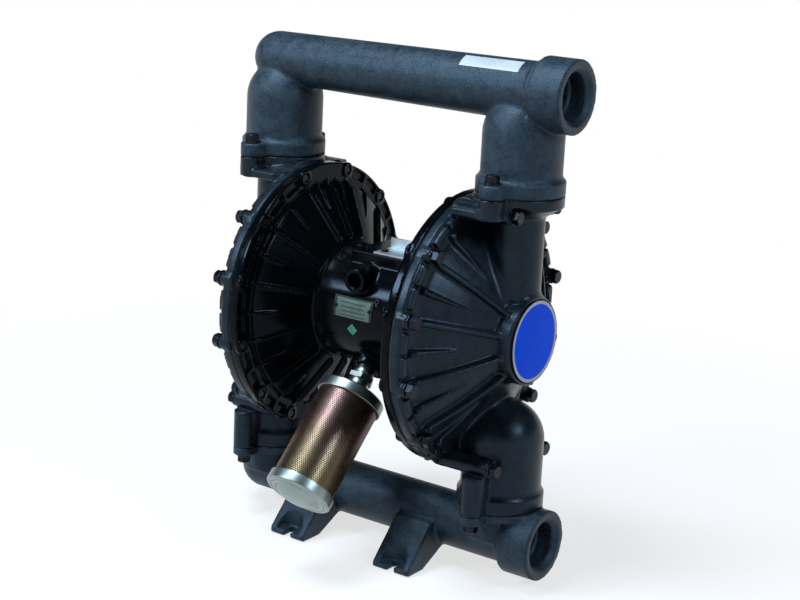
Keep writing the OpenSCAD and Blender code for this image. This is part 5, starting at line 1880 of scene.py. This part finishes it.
@dataclass
class Trim:
    """Labels, name plate, bracket and small screws."""

    sticker_x: tuple[float, float] = (105.0, 190.0)
    sticker_turn: tuple[float, float] = (41.0, 71.0)
    tube_r: float = 37.55
    flare: float = 3.3 / 400
    diamond: float = 8.0

    def build(self, kit: Kit) -> None:
        """Makes and places the trim."""
        self.disc(kit)
        self.patches(kit)
        for node, finish in (
            ("name_plate", "plate"), ("name_plate_pins", "bolt"), ("bracket_screws", "bolt"),
            ("ground_screw", "bolt"), ("housing_plugs", "bolt"), ("top_bracket", "bracket"),
        ):
            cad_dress(node, kit[finish])

    def disc(self, kit: Kit) -> None:
        """Round label on the right cover's boss."""
        r, t = PUMP.disc_r, PUMP.disc_t
        profile = rounded_profile([(0, 0, 0), (r, 0, 0.3), (r, t, 0.9), (0, t, 0)])
        matrix = along((PUMP.hub_boss_x, 0, PUMP.pump_z), (1, 0, 0))
        mesh = soften(face_mesh("label_disc", *lathe(profile, 160), matrix))
        piece("label_disc_finished", mesh, kit["label"], ["label_disc"])

    def patches(self, kit: Kit) -> None:
        """White sticker on the outlet tube and green diamond on the housing, both bent to fit."""
        for name, solid, finish in (
            ("tube_sticker", thin_patch(1, 14, (0.1, 0.4), self.on_tube), "sticker"),
            ("green_diamond", thin_patch(8, 8, (0.05, 0.45), self.on_housing), "diamond"),
        ):
            piece(name, soften(face_mesh(name, *solid)), kit[finish])

    def on_tube(self, length: float, width: float, lift: float) -> Point:
        """Point of the sticker over the flared outlet tube.

        Args:
            length: share of the sticker's length.
            width: share of its width, from its lower edge.
            lift: height over the tube.

        Returns:
            The point.
        """
        x = self.sticker_x[0] + (self.sticker_x[1] - self.sticker_x[0]) * length
        a = math.radians(self.sticker_turn[0] + (self.sticker_turn[1] - self.sticker_turn[0]) * width)
        r = self.tube_r + lift - (PUMP.leg_x - x) * self.flare
        return x, -r * math.cos(a), PUMP.outlet_tube_z + r * math.sin(a)

    def on_housing(self, first: float, second: float, lift: float) -> Point:
        """Point of the diamond over the housing, from the shares of two of its edges."""
        x, rise = (first + second - 1) * self.diamond, (first - second) * self.diamond
        return TRIM.on_front(x - 3, math.degrees(rise / PUMP.housing_r) - 11.2, lift)


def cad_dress(node: str, material: Material) -> None:
    """Gives a CAD node that keeps its own shape its finish.

    Args:
        node: name of the node.
        material: its finish.
    """
    obj = NODES[node]
    if not obj.data.materials:
        obj.data.materials.append(material)
    for i in range(len(obj.material_slots)):
        obj.material_slots[i].material = material


NODES: dict[str, bpy.types.Object] = {}


@dataclass
class Diaphragms:
    """Moulded fabric-backed diaphragms, cut into equal sectors."""

    sectors: int = 12
    plate_r: float = 75.0
    longest: float = 9.0

    def build(self, rubber: Material) -> None:
        """Makes the sectors of both diaphragms and hides the whole ones.

        Args:
            rubber: finish of the sectors.
        """
        half = math.pi / self.sectors
        for side in Side:
            node = f"{side.word}_diaphragm"
            for i in range(self.sectors):
                mesh = self.sector(NODES[node].data, 2 * half * i, half)
                mesh.materials.clear()
                mesh.materials.append(rubber)
                obj = put(f"{node}_sector_{i + 1}", mesh)
                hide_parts(node)
                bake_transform(obj)

    def sector(self, whole: Mesh, turn: float, half: float) -> Mesh:
        """Cuts one closed sector out of a diaphragm and divides its long edges.

        Args:
            whole: mesh of the whole diaphragm.
            turn: angle of the sector's middle, in radians.
            half: half the sector's angle.

        Returns:
            The sector's mesh.
        """
        form = bmesh.new()
        form.from_mesh(whole)
        centre = Vector((0, 0, PUMP.pump_z * MM))
        for sign in BOTH:
            a = turn + sign * half
            across = Vector((0, -math.sin(a), math.cos(a))) * sign
            parts = form.verts[:] + form.edges[:] + form.faces[:]
            bmesh.ops.bisect_plane(form, geom=parts, plane_co=centre, plane_no=across, clear_outer=True)
        bmesh.ops.remove_doubles(form, verts=form.verts, dist=1e-6)
        bmesh.ops.holes_fill(form, edges=[e for e in form.edges if e.is_boundary], sides=0)
        for _ in range(3):
            long = [e for e in form.edges if e.calc_length() > self.longest * MM]
            bmesh.ops.subdivide_edges(form, edges=long, cuts=1)
            bmesh.ops.triangulate(form, faces=[f for f in form.faces if len(f.verts) > 4])
        bmesh.ops.recalc_face_normals(form, faces=form.faces)
        mesh = bpy.data.meshes.new("diaphragm_sector")
        form.to_mesh(mesh)
        form.free()
        return soften(mesh)


@dataclass
class Fasteners:
    """Cover bolts and manifold bolts."""

    def build(self, bolt: Material) -> None:
        """Makes every set of bolts.

        Args:
            bolt: finish of the bolts.
        """
        tree = repeat_tree("fasteners", False)
        for side in Side:
            name = f"cover_bolts_{side.word}"
            parts = [
                repeat(tree, FlangeBolt(seat - PUMP.air_boss_x - 1).mesh(), self.cover_places(side, angles, seat), bolt)
                for angles, seat in ((PUMP.side_angles, PUMP.bolt_seat_x), (PUMP.long_angles, PUMP.long_boss_x))
            ]
            piece(f"{name}_finished", merge(name, parts), bolt, [name])
        spots = [(sx * PUMP.leg_x, sy * PUMP.lug_y) for sx in BOTH for sy in BOTH]
        for name, seat, length, way in (
            ("outlet_bolts", PUMP.outlet_joint_z + 18, 18 + PUMP.lug_tap_l, 1),
            ("inlet_bolts", PUMP.inlet_joint_z - 11, 11 + PUMP.lower_tap_l, -1),
        ):
            places = [placed(along((x, y, seat), (0, 0, way), 17 * i)) for i, (x, y) in enumerate(spots)]
            part = FlangeBolt(length).mesh()
            piece(f"{name}_finished", repeat(tree, part, places, bolt), bolt, [name])

    def cover_places(self, side: Side, angles: Sequence[float], seat: float) -> list[tuple[Point, Point]]:
        """Places of one length of cover bolt on one side.

        Args:
            side: side of the pump.
            angles: angles of the bolts from the vertical.
            seat: distance of their seats from the pump's middle.

        Returns:
            Position and turn of each bolt.
        """
        row = []
        for sign in BOTH:
            for i, angle in enumerate(angles):
                x, y, z = on_circle(sign * angle, PUMP.bolt_circle_r, seat)
                row.append(placed(along((x * side.value, y, z), (side.value, 0, 0), 23 * i + 7 * sign)))
        return row


def merge(name: str, meshes: Sequence[Mesh]) -> Mesh:
    """Joins several meshes into one.

    Args:
        name: name of the joined mesh.
        meshes: meshes in metres.

    Returns:
        The joined mesh.
    """
    work = bmesh.new()
    for mesh in meshes:
        work.from_mesh(mesh)
    out = bpy.data.meshes.new(name)
    work.to_mesh(out)
    work.free()
    return soften(out)


# -------- stage


@dataclass(frozen=True)
class Studio:
    """Camera, lamps, floor and world for the picture."""

    azimuth: float = 34.82
    elevation: float = 14.75
    roll: float = 2.85
    distance: float = 2.2338
    target: Point = (0.01595, 0.0, 0.33374)
    focal_px: float = 1705.0
    picture_w: float = 800.0
    floor_w: float = 60.0
    floor_z: float = -0.0005
    lamp_colour: str = "#dceeff"

    def camera(self) -> None:
        """Makes the camera at the picture's viewing angle."""
        data = bpy.data.cameras.new("camera")
        data.sensor_width = 36.0
        data.lens = self.focal_px / self.picture_w * data.sensor_width
        camera = put("camera", data)
        a, e = math.radians(self.azimuth), math.radians(self.elevation)
        back = Vector((math.sin(a) * math.cos(e), -math.cos(a) * math.cos(e), math.sin(e)))
        right = Vector((math.cos(a), math.sin(a), 0))
        up = back.cross(right)
        turn = math.radians(self.roll)
        right, up = right * math.cos(turn) + up * math.sin(turn), up * math.cos(turn) - right * math.sin(turn)
        frame = Matrix((right, up, back)).transposed().to_4x4()
        camera.matrix_world = Matrix.Translation(Vector(self.target) + back * self.distance) @ frame
        data.clip_start, data.clip_end = 0.1, 50.0
        bpy.context.scene.camera = camera

    def lamp(self, name: str, place: Point, aim: Point, size: float, power: float) -> None:
        """Adds a square soft lamp.

        Args:
            name: name of the lamp.
            place: its place.
            aim: point that it faces.
            size: length of its side.
            power: power in watts.
        """
        data = bpy.data.lights.new(name, "AREA")
        data.shape, data.size, data.energy = "SQUARE", size, power
        data.color = srgb(self.lamp_colour)[:3]
        lamp = put(name, data)
        lamp.location = place
        lamp.rotation_mode = "QUATERNION"
        lamp.rotation_quaternion = (Vector(aim) - Vector(place)).to_track_quat("-Z", "Y")

    def floor(self) -> None:
        """Pale floor that looks white to the camera and still takes the object's shadow."""
        mesh = bpy.data.meshes.new("floor")
        half = self.floor_w / 2
        corners = [(x * half, y * half, self.floor_z) for x, y in ((-1, -1), (1, -1), (1, 1), (-1, 1))]
        mesh.from_pydata(corners, [], [(0, 1, 2, 3)])
        floor = put("floor", mesh)
        material = bpy.data.materials.new("pale_floor")
        tree = empty_tree(material)
        seen = self.seen(tree)
        # Seen as white, but as mid grey to the light that it sends back up
        tone = add_node(tree, "ShaderNodeMix", {"data_type": "RGBA"}, i0=seen, i6=srgb("#8e949b"), i7=srgb("#f2f3f4"))
        lit = add_node(tree, "ShaderNodeBsdfDiffuse", Color=tone.outputs[2])
        white = add_node(tree, "ShaderNodeEmission", Color=(1, 1, 1, 1), Strength=1.0)
        place = add_node(tree, "ShaderNodeTexCoord").outputs["Object"]
        reach = add_node(tree, "ShaderNodeVectorMath", {"operation": "LENGTH"}, i0=place).outputs["Value"]
        share = add_node(tree, "ShaderNodeMapRange", i0=reach, i1=0.3, i2=1.3, i3=0.7, i4=1.0)
        fac = add_node(tree, "ShaderNodeMath", {"operation": "MULTIPLY"}, i0=share.outputs[0], i1=seen)
        mix = add_node(tree, "ShaderNodeMixShader", i0=fac.outputs[0], i1=lit.outputs[0], i2=white.outputs[0])
        add_node(tree, "ShaderNodeOutputMaterial", i0=mix.outputs[0])
        mesh.materials.append(material)

    def seen(self, tree: Tree) -> Socket:
        """One for rays from the camera, and for those that gloss and glass send on.

        Args:
            tree: material or world node tree.

        Returns:
            Socket with one or zero.
        """
        path = add_node(tree, "ShaderNodeLightPath")
        total = path.outputs["Is Camera Ray"]
        for name in ("Is Glossy Ray", "Is Transmission Ray"):
            total = add_node(
                tree, "ShaderNodeMath", {"operation": "ADD", "use_clamp": True}, i0=total, i1=path.outputs[name]
            ).outputs[0]
        return total

    def world(self) -> None:
        """White horizon for the camera and for gloss under a dark ceiling, dim light for the rest."""
        world = bpy.data.worlds.new("studio")
        bpy.context.scene.world = world
        tree = empty_tree(world)
        way = add_node(tree, "ShaderNodeTexCoord").outputs["Generated"]
        rise = add_node(tree, "ShaderNodeSeparateXYZ", Vector=way).outputs["Z"]
        sky = ramp(tree, rise, [(0.0, "#ffffff"), (0.06, "#ffffff"), (0.3, "#2e343d"), (0.6, "#0e1116")])
        light = add_node(tree, "ShaderNodeBackground", Color=srgb("#e0ecfc"), Strength=0.15)
        white = add_node(tree, "ShaderNodeBackground", Color=sky, Strength=1.0)
        mix = add_node(tree, "ShaderNodeMixShader", i0=self.seen(tree), i1=light.outputs[0], i2=white.outputs[0])
        add_node(tree, "ShaderNodeOutputWorld", Surface=mix.outputs[0])

    def build(self) -> None:
        """Makes the whole stage."""
        self.camera()
        self.floor()
        self.world()
        self.lamp("key_lamp", (-1.6, -2.3, 2.1), (0, 0, 0.45), 0.75, 64)
        self.lamp("side_lamp", (2.7, -0.4, 2.0), (0, 0, 0.35), 0.8, 38)
        self.lamp("top_lamp", (-0.6, -0.9, 2.9), (0, 0, 0.3), 1.0, 92)
        bpy.context.scene.view_settings.view_transform = "Standard"


# -------- the pump


@dataclass
class Pump:
    """The whole pump: castings, fasteners, muffler, trim and the hidden running parts."""

    kit: Kit = field(default_factory=dict)

    def finishes(self) -> None:
        """Builds every material once."""
        film = ChromateFinish(
            "yellow_chromate_sheet", "#a08b7a", "#877465", 0.34, metallic=1.0, roughness_spread=0.04, mottle_mm=14,
            bump_mm=0.9, bump_height_mm=0.01, start=tuple(Vector(MUFFLER.point(MUFFLER.start)) * MM),
            end=tuple(Vector(MUFFLER.point(MUFFLER.end)) * MM),
        )
        label = LabelFinish(
            "printed_blue_label", "#0458f4", "#0450e8", 0.4, mottle_mm=60, wave=Wave.NONE, specular=0.05,
            centre=(PUMP.hub_boss_x * MM, 0.0, PUMP.pump_z * MM),
        )
        plate = PlateFinish(
            "anodised_name_plate", "#5f746c", "#4c5f58", 0.4, metallic=0.6, roughness_spread=0.05, mottle_mm=8,
            bump_mm=1.2, bump_height_mm=0.01, centre=(-3 * MM, 0.0, PUMP.pump_z * MM),
        )
        drawn = {"plate": plate, "film": film, "label": label}
        self.kit = {name: finish.build() for name, finish in {**FINISHES, **drawn}.items()}

    def castings(self) -> None:
        """Meshes the castings; each pair comes from one field."""
        pair, single = {side: f"{side.word}_" for side in Side}, {Side.RIGHT: ""}
        for casting, name, finish, slot, sides in (
            (FluidCover(), "fluid_cover", "cover", "casting", pair),
            (AirCover(), "air_cover", "paint", "housing_paint", pair),
            (OutletManifold(), "outlet_manifold", "cast", "casting", single),
            (InletManifold(), "inlet_manifold", "cast", "casting", single),
            (CentreHousing(), "center_housing", "paint", "housing_paint", single),
        ):
            points, quads = casting.skin()
            for side, word in sides.items():
                node = word + name
                mesh = quad_mesh(node, points, quads, side)
                piece(f"{node}_finished", mesh, self.kit[finish], [node])

    def running_parts(self) -> None:
        """Finishes for the parts inside and for the valve on the rear."""
        dress = {
            "gasket": ["left_hub_gasket", "right_hub_gasket", "valve_gasket"],
            "bolt": ["hub_screws_left", "hub_screws_right", "valve_end_plugs", "valve_cover_screws"],
            "steel": ["outlet_seats", "inlet_seats", "diaphragm_shaft", "shaft_bolts", "left_pilot_pin",
                      "right_pilot_pin", "valve_plate"],
            "rubber": ["outlet_seat_rings", "inlet_seat_rings", "shaft_seals"],
            "ball": ["outlet_ball_left", "outlet_ball_right", "inlet_ball_left", "inlet_ball_right"],
            "alloy": ["left_air_plate", "right_air_plate", "left_fluid_plate", "right_fluid_plate", "valve_block"],
            "bearing": ["shaft_bearings", "pilot_bushes"],
            "valve": ["valve_carriage", "valve_pistons"],
            "paint": ["valve_cover"],
        }
        for finish, nodes in dress.items():
            for node in nodes:
                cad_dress(node, self.kit[finish])
        Diaphragms().build(self.kit["rubber"])

    def build(self) -> None:
        """Builds the pump in order."""
        self.finishes()
        self.castings()
        Fasteners().build(self.kit["bolt"])
        Muffler().build(self.kit["zinc"], self.kit["film"], self.kit["felt"])
        Trim().build(self.kit)
        self.running_parts()


def main() -> None:
    """Loads the frame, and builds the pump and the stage."""
    logging.basicConfig(level=logging.INFO, format="%(message)s")
    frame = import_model()
    NODES.update(frame["nodes"])
    Pump().build()
    Studio().build()


if __name__ == "__main__":
    main()
